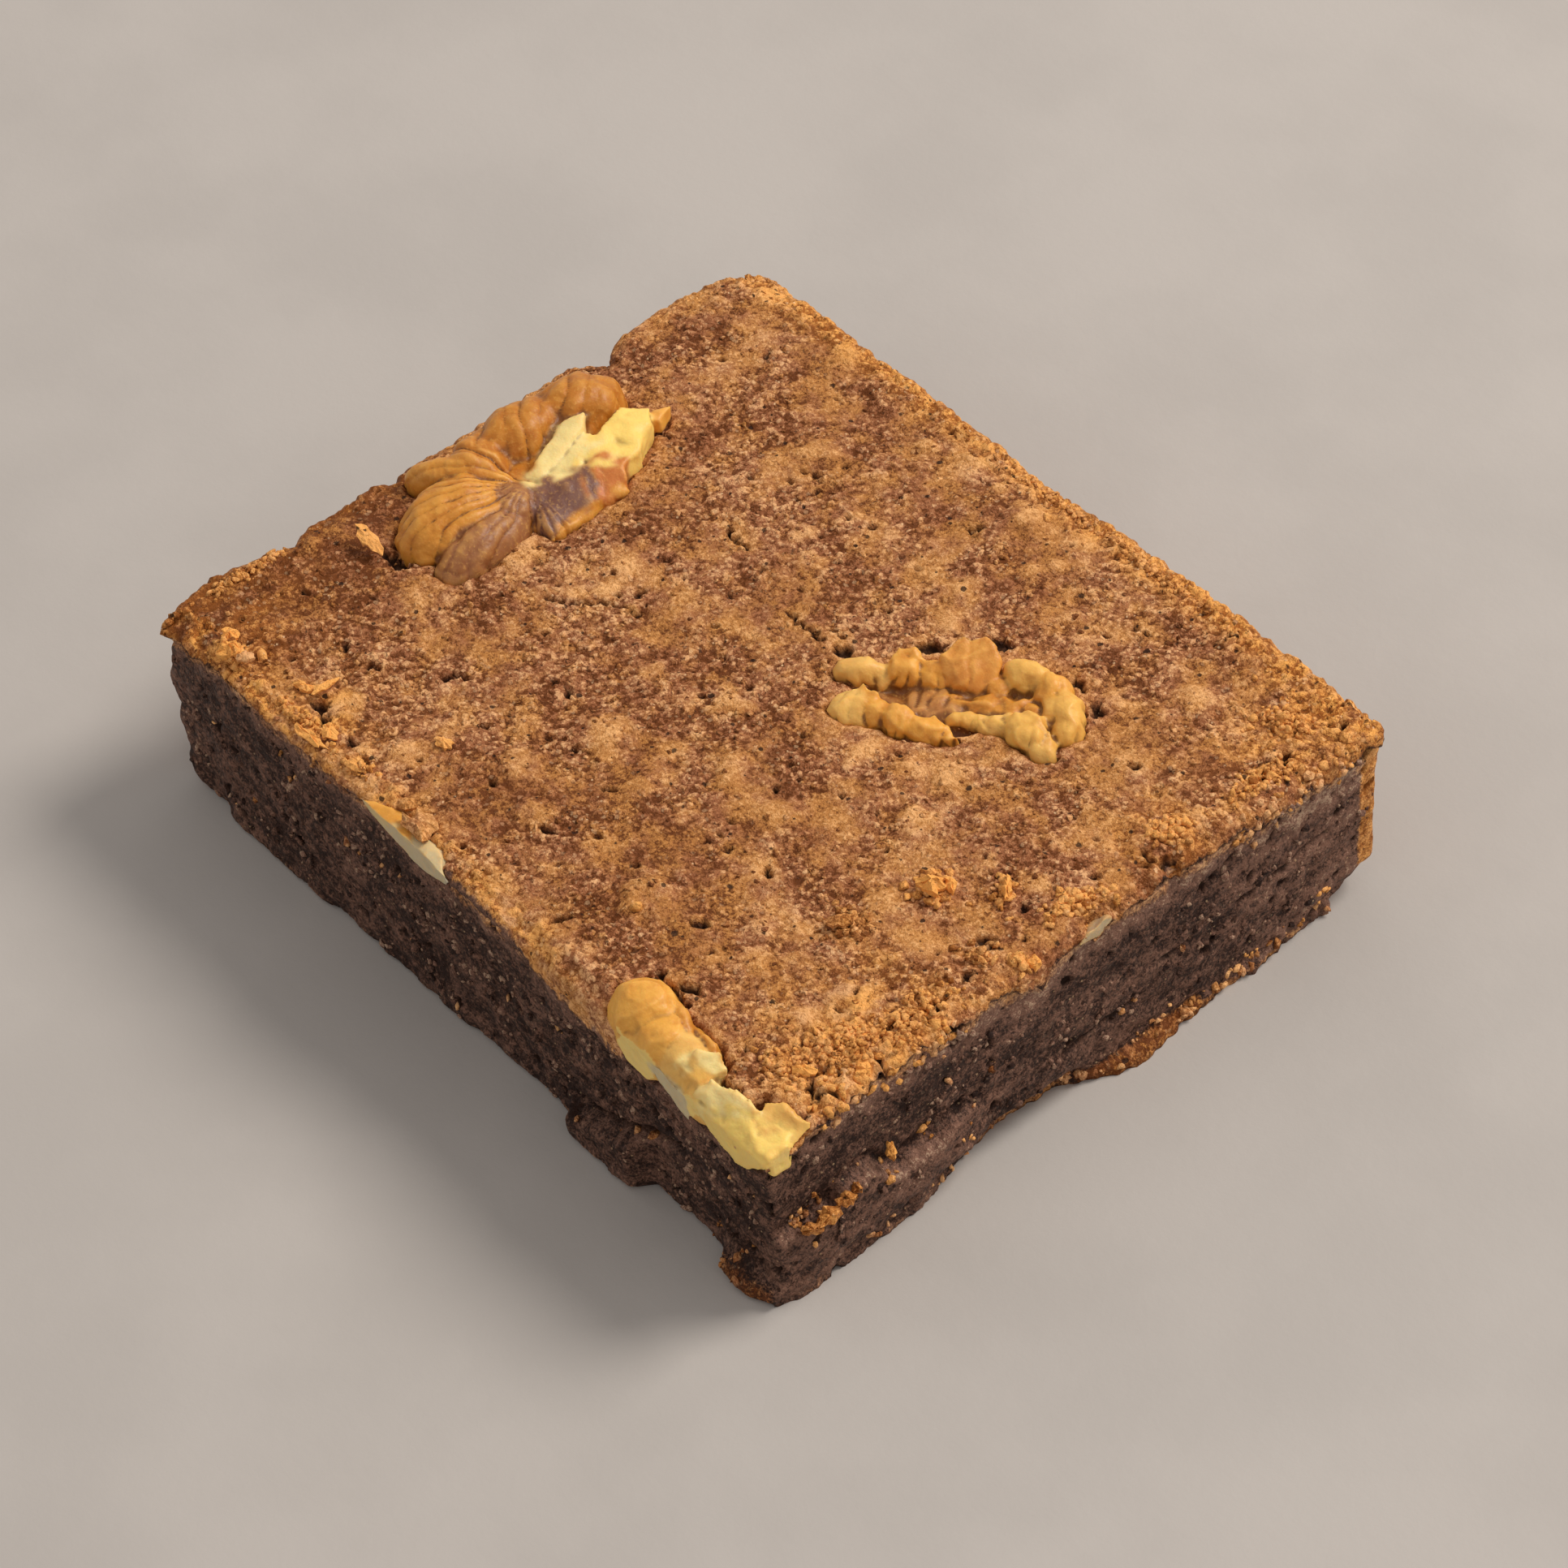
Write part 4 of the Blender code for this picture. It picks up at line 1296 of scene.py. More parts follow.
def outline(spacing_cut, spacing_pan):
    """Points round the slab's nominal outline, and their outward directions."""
    corners = (  # each corner, its rounding and the spacing of the points round it
        (HALF_LENGTH, -HALF_WIDTH, 0.5, spacing_cut),
        (HALF_LENGTH, HALF_WIDTH, 0.8, spacing_pan),
        (-HALF_LENGTH, HALF_WIDTH, PAN_CORNER_ROUND, spacing_pan),
        (-HALF_LENGTH, -HALF_WIDTH, 0.7, spacing_cut),
    )
    middles = [(x - math.copysign(radius, x), y - math.copysign(radius, y))
               for x, y, radius, _ in corners]
    places, directions = [], []
    for number, (middle, (_, _, radius, spacing)) in enumerate(zip(middles, corners)):
        steps = max(4, round(radius * math.pi / 2 / spacing))
        first = 90 * number - 90
        for step in range(steps + 1):
            turn = math.radians(first + 90 * step / steps)
            direction = (math.cos(turn), math.sin(turn))
            places.append((middle[0] + radius * direction[0], middle[1] + radius * direction[1]))
            directions.append(direction)
        start, end = np.array(places[-1]), np.array(places[-1])
        axis = 1 - number % 2
        end[axis] = middles[(number + 1) % 4][axis]
        side = spacing_cut if number in (0, 3) else spacing_pan
        count = round(np.linalg.norm(end - start) / side)
        direction = directions[-1]
        for step in range(1, count):
            places.append(tuple(start + (end - start) * step / count))
            directions.append(direction)
    return np.array(places), np.array(directions)


def front_face(x, z, spots):
    """How far the front cut stands out at height z."""
    foot = 0.8 * hill(x, -31, -19, 4) + 0.4 * hill(x, -14, 0, 4) - 0.4 * hill(x, 25, 32, 2)
    out = front_rim(x) * ramp(z, 14, 18.5) + foot * (1 - z / HEIGHT)
    crack = 3.5 + 0.42 * np.maximum(x - 17, 0) + 0.35 * swell(spots, 2.0, 91)
    chunk = hill(x, 15.5, 22.8, 1.6)
    out += 1.6 * chunk * (1 - ramp(z, crack - 1.2, crack - 0.1))
    gape = hill(x, 13.5, 27.5, 2.0) * bell(z, crack + 0.25, 0.45)
    out -= 1.5 * gape
    lip = ramp(x, 33.0, 35.0) * (1 - ramp(z, 1.3, 2.6)) * (1 - 0.5 * ramp(x, 37.5, 40))
    out += 1.5 * lip
    out += 0.35 * bell(x, 36.5, 3) * bell(z, 0.8, 0.8)
    return out, gape


# How far the foot of the right cut stands out along it: (y, how far).
RIGHT_FOOT = (
    (-32, -0.2), (-27, -0.3), (-22, -0.5), (-18, -0.7), (-15, -1.5), (-10, -1.8), (-7, -2.1),
    (-2, -1.5), (1, 0.0), (4, 1.2), (7, 1.2), (10, 0.3), (12, 0.7), (15, 0.0), (18.5, 0.6),
    (24, -0.3), (29, -0.3), (32, -1.4),
)


def right_face(y, z, spots):
    """How far the right cut stands out at height z, its crevices, and how much lighter its ledge is:
    partly the ledge's own colour, partly painted light.
    """
    out = right_rim(y) * ramp(z, 14, 18.5)
    foot = np.interp(y, *zip(*RIGHT_FOOT))
    reach = np.where(foot > 0, 1.6, 3.6)
    fray = 0.45 * rough(spots, 1.3, 3, 95)
    out += (foot + fray) * (1 - ramp(z, 0.4 * reach, reach))
    top = 7.6 + 1.4 * hill(y, -25.5, -22, 1.5) - 0.8 * hill(y, -21, -16, 2)
    top = top + 0.7 * rough(spots * (0, 1, 0), 1.6, 3, 96)
    layer = (1 - ramp(y, -16, -9)) * (0.4 + 0.6 * ramp(y, -33, -29))
    ledge = layer * (1 - ramp(z, top - 0.35, top + 0.15))
    out += 1.1 * ledge - 0.5 * layer * bell(z, top + 0.8, 0.7)
    edge = layer * bell(z, top - 0.3, 0.4)
    seam = 9.5 + 0.06 * (y - 18) + 0.5 * swell(spots * (0, 1, 0), 4.0, 97)
    crevice = hill(y, 10, 27, 3) * bell(z, seam, 0.3) * ramp(swell(spots, 3.0, 98), -0.3, 0.3)
    second = hill(y, -3, 9, 3) * bell(z, seam - 2.5, 0.25) * ramp(swell(spots, 2.5, 99), -0.2, 0.3)
    gape = np.maximum(crevice, second)
    step = 0.9 * ramp(y, 29.0, 31.0) * (1 - ramp(z, 1.5, 2.3))
    # The ledge's top and edge are lighter and the layer a little darker: partly their own colour,
    # partly painted light.
    return out - 0.5 * gape - step, gape, 0.45 * ledge + 0.6 * edge - 0.2 * layer


def pan_inset(z):
    """How far a pan side lies inside its rim at height z."""
    inset = WALL_INSET * (1 - ramp(z, 13, HEIGHT - 1))
    low = np.clip(BASE_ROUND - z, 0, BASE_ROUND)
    return inset + BASE_ROUND - np.sqrt(BASE_ROUND**2 - low**2)


def left_face(y, z):
    """How far the left pan side stands out at height z."""
    out = left_rim(y) * ramp(z, 12, 18) - pan_inset(z)
    return out + bumps(z, LEFT_END) * bell(y, -33, 1.6)


def back_face(x, z):
    """How far the back pan side stands out at height z, with a step at its right end."""
    stepped = ramp(x, HALF_LENGTH - 7, HALF_LENGTH - 4)
    inset = (1 - stepped) * pan_inset(z) + stepped * 2.6 * (1 - ramp(z, 1.5, 2.3))
    return back_rim(x) * ramp(z, 12, 18) + 0.3 - inset


def crumb_texture(spots):
    """The broken surface of the dark crumb: lumps, grains and open pores."""
    lumps, _, _ = grains(spots, 1.5, 5)
    small, _, number = grains(spots, 0.6, 6)
    holes, _, chosen = grains(spots, 1.9, 7)
    pores = (1 - ramp(holes + 0.25 * swell(spots, 0.6, 8), 0.16, 0.34)) * (chosen > 0.72)
    rise = 0.30 * rough(spots, 3.5, 3, 9) + 0.20 * rough(spots, 1.4, 3, 10)
    rise += 0.10 * (0.6 - lumps) + 0.07 * (0.5 - small) + 0.06 * (number - 0.5)
    return rise - 0.55 * pores, pores, number


def wall_texture(spots, cut):
    """The surface of one row of the body: broken crumb on the cuts, smoother pan sides."""
    rise, pores, number = crumb_texture(spots)
    pan_rise = 0.20 * rough(spots, 6.0, 4, 14) + 0.10 * (0.5 - grains(spots, 0.9, 15)[0])
    pan_rise -= 0.45 * pores
    return cut * rise + (1 - cut) * pan_rise, pores, number


def make_crumb(settings, material):
    """The body under the crust: two cut faces of dark crumb, two pan sides and the base."""
    places, out = outline(settings.crumb_detail / MM, 2.2 * settings.crumb_detail / MM)
    size = len(places)
    to_front, to_right = np.clip(-out[:, 1], 0, 1) ** 2, np.clip(out[:, 0], 0, 1) ** 2
    cut = to_front + to_right
    x, y = places.T
    near_left, near_right, near_front, near_back = near_sides(x, y, (8, 8, 8, 8))
    tops = HEIGHT + swells(x, y) - 0.45 - np.minimum(0.75 * band_depth(x, y), 2.5)
    tops -= to_right * right_rim_drop(x, y)
    rows = round(HEIGHT * MM / settings.crumb_detail * 0.93)
    tree = tree_of(WALNUTS)

    points, faces = [], []
    masks = {"tone": [], "gold": [], "cavity": [], "baked": [], "grit": []}
    previous = None
    for row in range(rows + 1):
        share = row / rows
        z = tops * share
        spots = np.column_stack([places, z])
        front, front_gape = front_face(x, z, spots)
        right, right_gape, ledge_tone_and_light = right_face(y, z, spots)
        shift = np.column_stack([near_right * right - near_left * left_face(y, z),
                                 near_back * back_face(x, z) - near_front * front])
        rise, pores, number = wall_texture(spots, cut)
        rise = rise - 0.5 * cut * (1 - ramp(z, 0, 0.5)) * (to_right < 0.5)
        solid = places + shift + out * rise[:, None]
        solid = behind_walnuts(tree, solid, z, out, cut)
        previous = add_ring(points, faces, np.column_stack([solid, z]), previous, rising=True)
        gape = to_front * front_gape + to_right * right_gape
        shares = (cut, to_right, to_front)
        add_crumb_masks(masks, spots, shares, tops - z, gape, pores, number, rise,
                        to_right * ledge_tone_and_light)
    for inward, level in ((1.2, None), (2.8, CRUST_FLOOR + 0.8)):
        high = np.full(size, level) if level else tops
        inner = np.column_stack([solid - out * inward, high])
        previous = add_ring(points, faces, inner, previous, rising=True)
        add_row(masks, size)
    faces.append(previous.tolist())
    add_base(points, masks, faces, size)
    obj = mesh_object("crumb_body", np.concatenate(points), faces, material)
    add_masks(obj, {name: np.concatenate(rows) for name, rows in masks.items()})
    return obj


# A walnut piece in a cut is looked for above this height, from this far outside the crumb and over
# this depth, and the crumb then lies this far behind its face.
NUTS_FROM = 13
SEARCH_START = 4
SEARCH_DEPTH = 6.0
BEHIND_NUT = 0.8


def behind_walnuts(tree, solid, z, out, cut):
    """Draws the cut faces back where a walnut piece shows in them."""
    moved = solid.copy()
    high = np.flatnonzero((z > NUTS_FROM) & (cut > 0.5))
    for index in high:
        direction = Vector((*out[index], 0))
        origin = Vector((*solid[index], z[index])) + SEARCH_START * direction
        hit, _, _, _ = tree.ray_cast(origin, -direction, SEARCH_DEPTH)
        if hit:
            moved[index] = np.array(hit[:2]) - BEHIND_NUT * out[index]
    return moved


def add_crumb_masks(masks, spots, shares, below_top, gape, pores, number, rise, ledge_tone_and_light):
    """Colours of one row of the body: dark crumb, orange-brown pan crust, golden scraps, with painted
    light where the crumb stands out and painted shade in its pores and crevices.
    """
    cut, to_right, to_front = shares
    x, y, z = spots.T
    streaks = np.where(to_right[:, None] > 0.5, (1, 0.5, 1), (1, 1, 1))
    smear = rough(spots * streaks, 1.5, 3, 18)
    patches = rough(spots * streaks, 5.0, 2, 28)
    top_edge = 0.5 * (1 - ramp(below_top + 0.9 * smear, 0.2, 1.8))
    foot = (0.35 + 0.3 * to_right * ramp(y, -12, -6)) * (1 - ramp(z + 0.6 * smear, 0.5, 1.6))
    foot *= ramp(smear, -0.5, 0.2)
    wrap = 0.9 * to_right * ramp(y + 0.5 * smear, HALF_WIDTH - 2.4, HALF_WIDTH - 1.7)
    wrap *= ramp(z, 1.2, 2.4)
    tongue = 0.8 * to_right * hill(y, 0.5, 12, 1.5) * (1 - ramp(z, 1.0, 2.2))
    lip = 0.55 * to_front * ramp(x, 32.5, 35) * (1 - ramp(z + 0.4 * smear, 1.2, 2.6))
    baked = np.max([top_edge, foot, wrap, tongue, lip], axis=0)
    baked = cut * baked + (1 - cut) * 0.86
    under_crust = 1 - ramp(below_top + 1.2 * smear, 0.8, 4.0)
    # Painted light: lighter where the crumb stands out, and on the ledge of the right cut.
    tone = 0.36 + 0.36 * smear + 0.22 * patches + 0.25 * (number - 0.5) + 0.4 * rise
    tone = tone + (0.25 + 0.2 * to_right) * under_crust + 0.5 * ledge_tone_and_light - 0.6 * np.maximum(tongue, lip)
    tone = tone + to_right * (0.06 + 0.26 * ramp(y, 12, 28)) - 0.3 * wrap + 0.05 * foot
    pan_tone = 0.28 + 0.30 * rough(spots * (1, 1, 0.5), 6.0, 4, 19) - 0.12 * (1 - ramp(z, 0, 5))
    # Painted shade: darker in the pores, the crevices and the dips of the crumb.
    hollow_shade = np.clip(0.9 * pores + gape + 0.9 * np.clip(-rise - 0.05, 0, 1), 0, 1)
    add_row(masks, len(spots), grit=np.where(cut > 0.5, 0.45, 0.25), baked=baked,
            tone=cut * tone + (1 - cut) * pan_tone,
            gold=np.maximum(0.5 * (1 - cut) * ramp(z, 15, 18), 0.6 * wrap),
            cavity=cut * (1 - wrap) * hollow_shade + (1 - cut) * 0.8 * pores)


# How far the inner points of the underside stay from its sides: at -X and -Y, and at +X and +Y.
BASE_MARGIN_LOW = 2.5
BASE_MARGIN_HIGH = 4.4


def add_base(points, masks, faces, size):
    """The flat underside: points about a millimetre apart inside the lowest ring."""
    ring = points[0][:, :2]
    span_x, span_y = (np.arange(BASE_MARGIN_LOW - half, half - BASE_MARGIN_HIGH, 1.0)
                      for half in (HALF_LENGTH, HALF_WIDTH))
    inner = np.array([(a, b) for a in span_x for b in span_y])
    flat = np.concatenate([ring, inner])
    corners = [Vector(place) for place in flat]
    rim = [(index, (index + 1) % size) for index in range(size)]
    result = geometry.delaunay_2d_cdt(corners, rim, [], 1, 1e-6)
    found, triangles = result[0], result[2]
    if len(found) != len(flat):
        raise RuntimeError("the underside's rim crosses itself")
    start = sum(len(rows) for rows in points)
    spots = np.column_stack([inner, np.zeros(len(inner))])
    spots[:, 2] = np.clip(0.16 * rough(spots, 3.0, 3, 20), 0, 0.2)
    points.append(spots)
    add_row(masks, len(inner), grit=0.3, baked=0.7, tone=0.3 + 0.2 * rough(spots, 4.0, 3, 24),
            cavity=np.clip(2.5 * spots[:, 2], 0, 0.5))
    for triangle in triangles:
        faces.append([i if i < size else start + i - size for i in reversed(triangle)])


# --------------------------------------
# Chips, crumbs and flakes


Bits = namedtuple("Bits", "places ups sizes thins tones golds bakes")


def crumb_shapes(chance, count):
    """A few lumpy crumbs of radius 1, as points and triangles."""
    shapes = []
    for _ in range(count):
        corners = chance.normal(size=(15, 3))
        corners *= chance.uniform(0.75, 1.0, (15, 1)) / np.linalg.norm(corners, axis=1)[:, None]
        bm = bmesh.new()
        add_shard(bm, Shard("", corners))
        bmesh.ops.triangulate(bm, faces=bm.faces)
        bm.verts.index_update()
        points = np.array([vert.co for vert in bm.verts])
        shapes.append((points, [[vert.index for vert in face.verts] for face in bm.faces]))
        bm.free()
    return shapes


def scattered(name, seed, bits, material, tilt=0.35):
    """One object with a crumb at each place, laid on the surface there."""
    chance = np.random.default_rng(seed)
    shapes = crumb_shapes(chance, 24)
    placed = []
    for index in range(len(bits.sizes)):
        own, triangles = shapes[chance.integers(len(shapes))]
        stretch = chance.uniform(0.65, 1.25, 3) * (1, 1, bits.thins[index])
        up = bits.ups[index] + tilt * chance.normal(size=3)
        up /= np.linalg.norm(up)
        side = np.cross(up, chance.normal(size=3))
        side /= np.linalg.norm(side)
        frame_of_crumb = np.array((side, np.cross(up, side), up))
        own = own * stretch * bits.sizes[index] / 2
        placed.append((own @ frame_of_crumb + bits.places[index], triangles))
    points, faces, owners = put_together(placed)
    obj = mesh_object(name, points, faces, material)
    add_masks(obj, {"tone": bits.tones[owners], "gold": bits.golds[owners],
                    "baked": bits.bakes[owners], "grit": 0.5, "cavity": 0})
    return obj


def gathered(rows):
    """Turns rows of (place, up, size, thin, tone, gold, baked) into columns."""
    return Bits(*(np.array(column) for column in zip(*rows)))


def drop(tree, x, y):
    """The place and the outward direction of the surface under a point."""
    hit, normal, _, _ = tree.ray_cast(Vector((x, y, FAR_UP)), Vector((0, 0, -1)))
    return (np.array(hit), np.array(normal)) if hit else (None, None)


def crust_chips(chance, tree, count):
    """Thin chips that lie all over the crust, more of them where it is gritty."""
    rows = []
    spots = np.column_stack([chance.uniform(-39, 39.5, count), chance.uniform(-31.8, 32, count),
                             np.full(count, HEIGHT)])
    gritty = ramp(rough(spots, *GRIT_PATCHES), -0.5, 0.4)
    tones, golds = tone_of_top(spots), gold_of_top(spots)
    for index in np.flatnonzero(chance.uniform(0, 1, count) < 0.25 + 0.75 * gritty):
        place, up = drop(tree, *spots[index, :2])
        if place is None or place[2] < HEIGHT - 1.4:
            continue
        size = chance.uniform(0.3, 0.85)
        tone = tones[index] + chance.normal(0.04, 0.2)
        rows.append((place - 0.04 * up, up, size, chance.uniform(0.25, 0.6), tone, golds[index], 1))
    return rows


def crust_clumps(chance, tree, heaps):
    """Ragged golden clumps, each of many small crumbs."""
    rows = []
    for at_x, at_y, long, wide, turn, height, tone, gold in heaps:
        angle = math.radians(turn)
        for _ in range(round(9 * long * wide)):
            along, across = chance.normal(0, 0.27, 2)
            x = at_x + long * along * math.cos(angle) - wide * across * math.sin(angle)
            y = at_y + long * along * math.sin(angle) + wide * across * math.cos(angle)
            place, up = drop(tree, x, y)
            if place is None or place[2] < 14:
                continue
            pile = height * math.exp(-6 * (along**2 + across**2)) * chance.uniform(0, 1)
            rows.append((place + (0, 0, pile), up, chance.uniform(0.35, 0.8 + height), 0.7,
                         tone - 0.12 + chance.normal(0, 0.3), gold * chance.uniform(0.6, 1), 1))
    return rows


def rim_crumbs(chance, tree, walnuts):
    """Crumbs in small clusters on the rims, the faces and the feet of the two cuts."""
    rows = []
    for side, low, high, level, reach, count, size, tone, gold in EDGE_CRUMBS:
        for number in range(count):
            if number % CLUSTER == 0:
                centre = np.array((chance.uniform(low, high), level + chance.normal(0, reach)))
            along, z = centre + chance.normal(0, 0.7, 2)
            start = Vector((FAR_RIGHT, along, z) if side == "right" else (along, FAR_FRONT, z))
            toward = Vector((-1, 0, 0)) if side == "right" else Vector((0, 1, 0))
            hit, normal, _, _ = tree.ray_cast(start, toward)
            nut, _, _, _ = walnuts.ray_cast(start, toward)
            across = chance.uniform(0.3, size)
            if hit and not nut and z > 0.55 * across:
                baked = 1 if gold or normal.z > UPTURNED or z > CRUST_FOOT else 0
                rows.append((np.array(hit), np.array(normal), across, 0.75,
                             tone + chance.normal(0, 0.2), gold, baked))
    return rows


def flake_shape(chance):
    """A thin flake with a ragged rim: its points, in a box of about 2 by 2 by 1, and faces."""
    count = 16
    turns = 2 * math.pi * (np.arange(count) + chance.uniform(-0.3, 0.3, count)) / count
    reach = chance.uniform(0.6, 1.1, count)
    rim = np.stack([np.cos(turns) * reach, np.sin(turns) * reach], 1)
    rings = [np.column_stack([rim * size, level + chance.normal(0, 0.14, count)])
             for size, level in ((0.45, 0.5), (1.0, 0.1), (0.92, -0.4), (0.4, -0.3))]
    points = np.concatenate([*rings, [(0, 0, 0.6)], [(0, 0, -0.3)]])
    faces = []
    for ring in range(3):
        first = ring * count + np.arange(count)
        faces += ring_faces(first + count, first)
    for step in range(count):
        following = (step + 1) % count
        faces.append([4 * count, step, following])
        faces.append([4 * count + 1, 3 * count + following, 3 * count + step])
    return points, faces


def make_flakes(material):
    """The larger flakes of crust, each in its own place."""
    chance = np.random.default_rng(11)
    placed = []
    for x, y, z, length, width, turn, thin, lean, _, _ in FLAKES:
        own, own_faces = flake_shape(chance)
        frame_of_flake = np.array(Matrix.Rotation(math.radians(lean), 3, "Y")
                                  @ Matrix.Rotation(math.radians(turn), 3, "Z"))
        own = own * (length / 2, width / 2, thin) @ frame_of_flake.T + (x, y, z)
        placed.append((own, own_faces))
    points, faces, owners = put_together(placed)
    tone, gold = np.array(FLAKES)[owners, -2:].T
    shift = np.stack([rough(points, 1.2, 3, 101 + axis) for axis in range(3)], 1)
    obj = mesh_object("crust_flakes", points + 0.2 * shift, faces, material)
    obj.data.polygons.foreach_set("use_smooth", [False] * len(obj.data.polygons))
    tone = tone + 0.2 * rough(points, 0.8, 2, 104)
    add_masks(obj, {"tone": tone, "gold": gold, "baked": 1, "grit": 0.4, "cavity": 0})
    return obj


# Clumps of crumbs on the top: (x, y, length, width, turn, height, tone, gold).
HEAPS = (
    (28.7, -5.4, 3.2, 3, 0, 0.7, 0.9, 0.9), (32.8, -1.4, 3.4, 1.3, -40, 0.5, 1, 0.9),
    (26.9, -12.9, 3.6, 3, 20, 0.5, 0.55, 0.35), (37.4, 1.6, 5, 2.2, 80, 0.5, 0.95, 0.8),
    (36.4, -7.4, 2.6, 2, 40, 0.6, 0.55, 0.5), (39.2, -5.6, 1.6, 1.4, 0, 0.6, 0.9, 0.8),
    (36.4, -22, 7, 4, 80, 0.3, 0.8, 0.8), (37.6, -15, 6, 3, 90, 0.3, 0.8, 0.8),
    (34.6, -26, 4, 3, 30, 0.3, 0.75, 0.8), (37, 12.4, 3.6, 2.6, 70, 0.4, 0.85, 0.8),
    (34.6, 27.6, 4, 3, 30, 0.4, 0.85, 0.9), (38, 22, 7, 2.4, 90, 0.3, 0.8, 0.8),
    (-31.4, -30.8, 3.4, 2.6, 20, 1, 0.8, 0.9), (-39.4, -31.6, 2.2, 2, 0, 0.4, 0.4, 0.5),
    (-20.6, -31, 7, 1.4, -5, 0.3, 0.85, 0.9), (-13.6, -31, 4, 1.2, 20, 0.3, 0.85, 0.9),
    (10, 31.6, 24, 1.2, 0, 0.2, 0.8, 0.6), (-38.6, -24, 8, 1.4, 90, 0.3, 0.7, 0.7),
)

# The cuts' crumbs come in clusters of so many. The ones above a level, or where the surface is
# turned up enough, are baked like the crust that they lie on.
CLUSTER = 4
CRUST_FOOT = 17.2
UPTURNED = 0.35

# Crumbs on the cuts: (side, from, to, level, spread, number, largest size, tone, gold). The ones
# with no gold are of dark crumb.
EDGE_CRUMBS = (
    ("right", -31, -8, 18, 0.5, 120, 1.5, 0.75, 0.8), ("right", -8, 31, 17.6, 0.8, 100, 1.2, 0.6, 0.6),
    ("right", -32, 31, 16.6, 0.9, 200, 1.3, 1.1, 0), ("right", -27, 30, 0.6, 0.3, 60, 1.4, 0.5, 0.02),
    ("right", -30, 31, 17, 0.5, 72, 1.4, 1.15, 0.02), ("right", -27, 30, 0.8, 0.3, 88, 1.4, 1.15, 0.02),
    ("right", -31, -13, 8.2, 0.4, 26, 1.2, 0.6, 0.4), ("right", -32, 32, 9, 5, 170, 1.2, 0.4, 0),
    ("right", -32, 31, 11, 4, 170, 0.9, 1, 0), ("front", -38, 39, 9, 5, 340, 1.3, 0.45, 0),
    ("front", -38, 39, 10, 5, 340, 0.9, 1.1, 0), ("front", 30, 38, 1.2, 0.6, 12, 0.8, 0.3, 0.05),
    ("right", 18, 19, 2.4, 0.2, 5, 0.9, 0.9, 0.6), ("right", 26.5, 27.5, 3.3, 0.2, 5, 0.9, 0.9, 0.6),
    ("right", -13, -12, 4.7, 0.2, 4, 0.7, 0.9, 0.5), ("front", -30, 2, 15.5, 1.2, 60, 0.8, 0.95, 0),
)

# Larger flakes of crust: (x, y, z, length, width, turn, thickness, lean, tone, gold).
FLAKES = (
    (-33.3, -14.6, 20.3, 4.6, 1.5, -6, 0.4, 12, 0.95, 0.75),
    (-22.6, -27.6, 19.6, 3.2, 1.1, 82, 0.4, 0, 0.9, 0.9),
    (-23.9, -28.6, 19.3, 2.2, 1.3, 30, 0.6, 0, 0.9, 0.9),
    (-18.4, -30.2, 19.3, 2.8, 1.4, -20, 0.5, 0, 0.85, 0.9),
    (-10.6, -24.3, 19.6, 1.9, 1.4, 20, 0.4, 0, 0.9, 0.8),
    (-29.4, -30.6, 20.2, 1.7, 1.2, 50, 0.6, 0, 1, 0),
    (-31.2, -31, 20, 3.2, 2.2, 20, 1, 0, 0.75, 1),
    (-32.6, -29.9, 19.8, 2, 1.6, -30, 0.8, 0, 0.8, 1),
    (-19.2, -31.7, 19.1, 4.6, 1.4, 0, 0.5, 0, 0.85, 0.9),
    (-13.8, -30.9, 19.3, 2.6, 1.5, 10, 0.4, 0, 0.85, 0.8),
    (-4.6, -31.4, 19.6, 4.6, 2.6, -4, 0.9, 0, 0.7, 0.1),
    (-7.4, -30.6, 19.4, 2, 1.4, 40, 0.6, 0, 0.6, 0.2),
    (28.9, -5.8, 20, 2.8, 2.2, 20, 1, 0, 0.85, 1),
    (29.9, -4.6, 19.8, 1.8, 1.3, -40, 0.8, 0, 0.95, 1),
    (33.2, -1.6, 19.7, 2.8, 1, -42, 0.7, 0, 0.95, 1),
    (26.6, -13.4, 19.6, 2.6, 1.7, 60, 0.7, 0, 0.5, 0.3),
    (36.9, -7.6, 19, 2.8, 1.5, 50, 0.6, 20, 0.5, 0.3),
    (39.6, -4.4, 18.2, 1.8, 1.4, 80, 0.8, 50, 0.9, 1),
    (37.8, 2.6, 18.9, 2.2, 1.2, 70, 0.7, 20, 1, 0.9),
    (38.6, -12.4, 18.6, 2.4, 1.4, 80, 0.7, 40, 0.85, 0.9),
    (38.9, -21.6, 18.6, 2.2, 1.5, 90, 0.6, 40, 0.8, 0.9),
    (36.2, -25.4, 19.3, 2.6, 1.2, 40, 0.6, 0, 0.8, 1),
    (40.9, -21.1, 10, 1.9, 1.1, 0, 0.6, 80, 0.5, 1),
    (41.2, -29.6, 7.8, 2, 1.3, 60, 0.9, 50, 0.4, 0.5),
    (41.3, -27.9, 8.2, 2.8, 1.6, 95, 0.8, 45, 0.35, 0.6),
    (41.3, -26, 8.6, 2.2, 1.2, 75, 0.8, 55, 0.45, 0.6),
    (41.1, -24.8, 8.8, 1.3, 1.1, 20, 0.8, 50, 0.3, 0.4),
)


# --------------------------------------
# Settings, operators and panel

WALNUTS = ("walnut_edge", "walnut_middle", "walnut_corner", "walnut_side", "walnut_sliver")


def colour_property(name, description, default):
    return FloatVectorProperty(name=name, description=description, subtype="COLOR", size=4,
                               min=0, max=1, default=(*default, 1))


def spacing_property(name, description, default):
    return FloatProperty(name=name, description=description, default=default * MM, min=0.1 * MM,
                         max=2 * MM, subtype="DISTANCE", unit="LENGTH")


def count_property(name, description, default, most):
    return IntProperty(name=name, description=description, default=default, min=0, max=most)


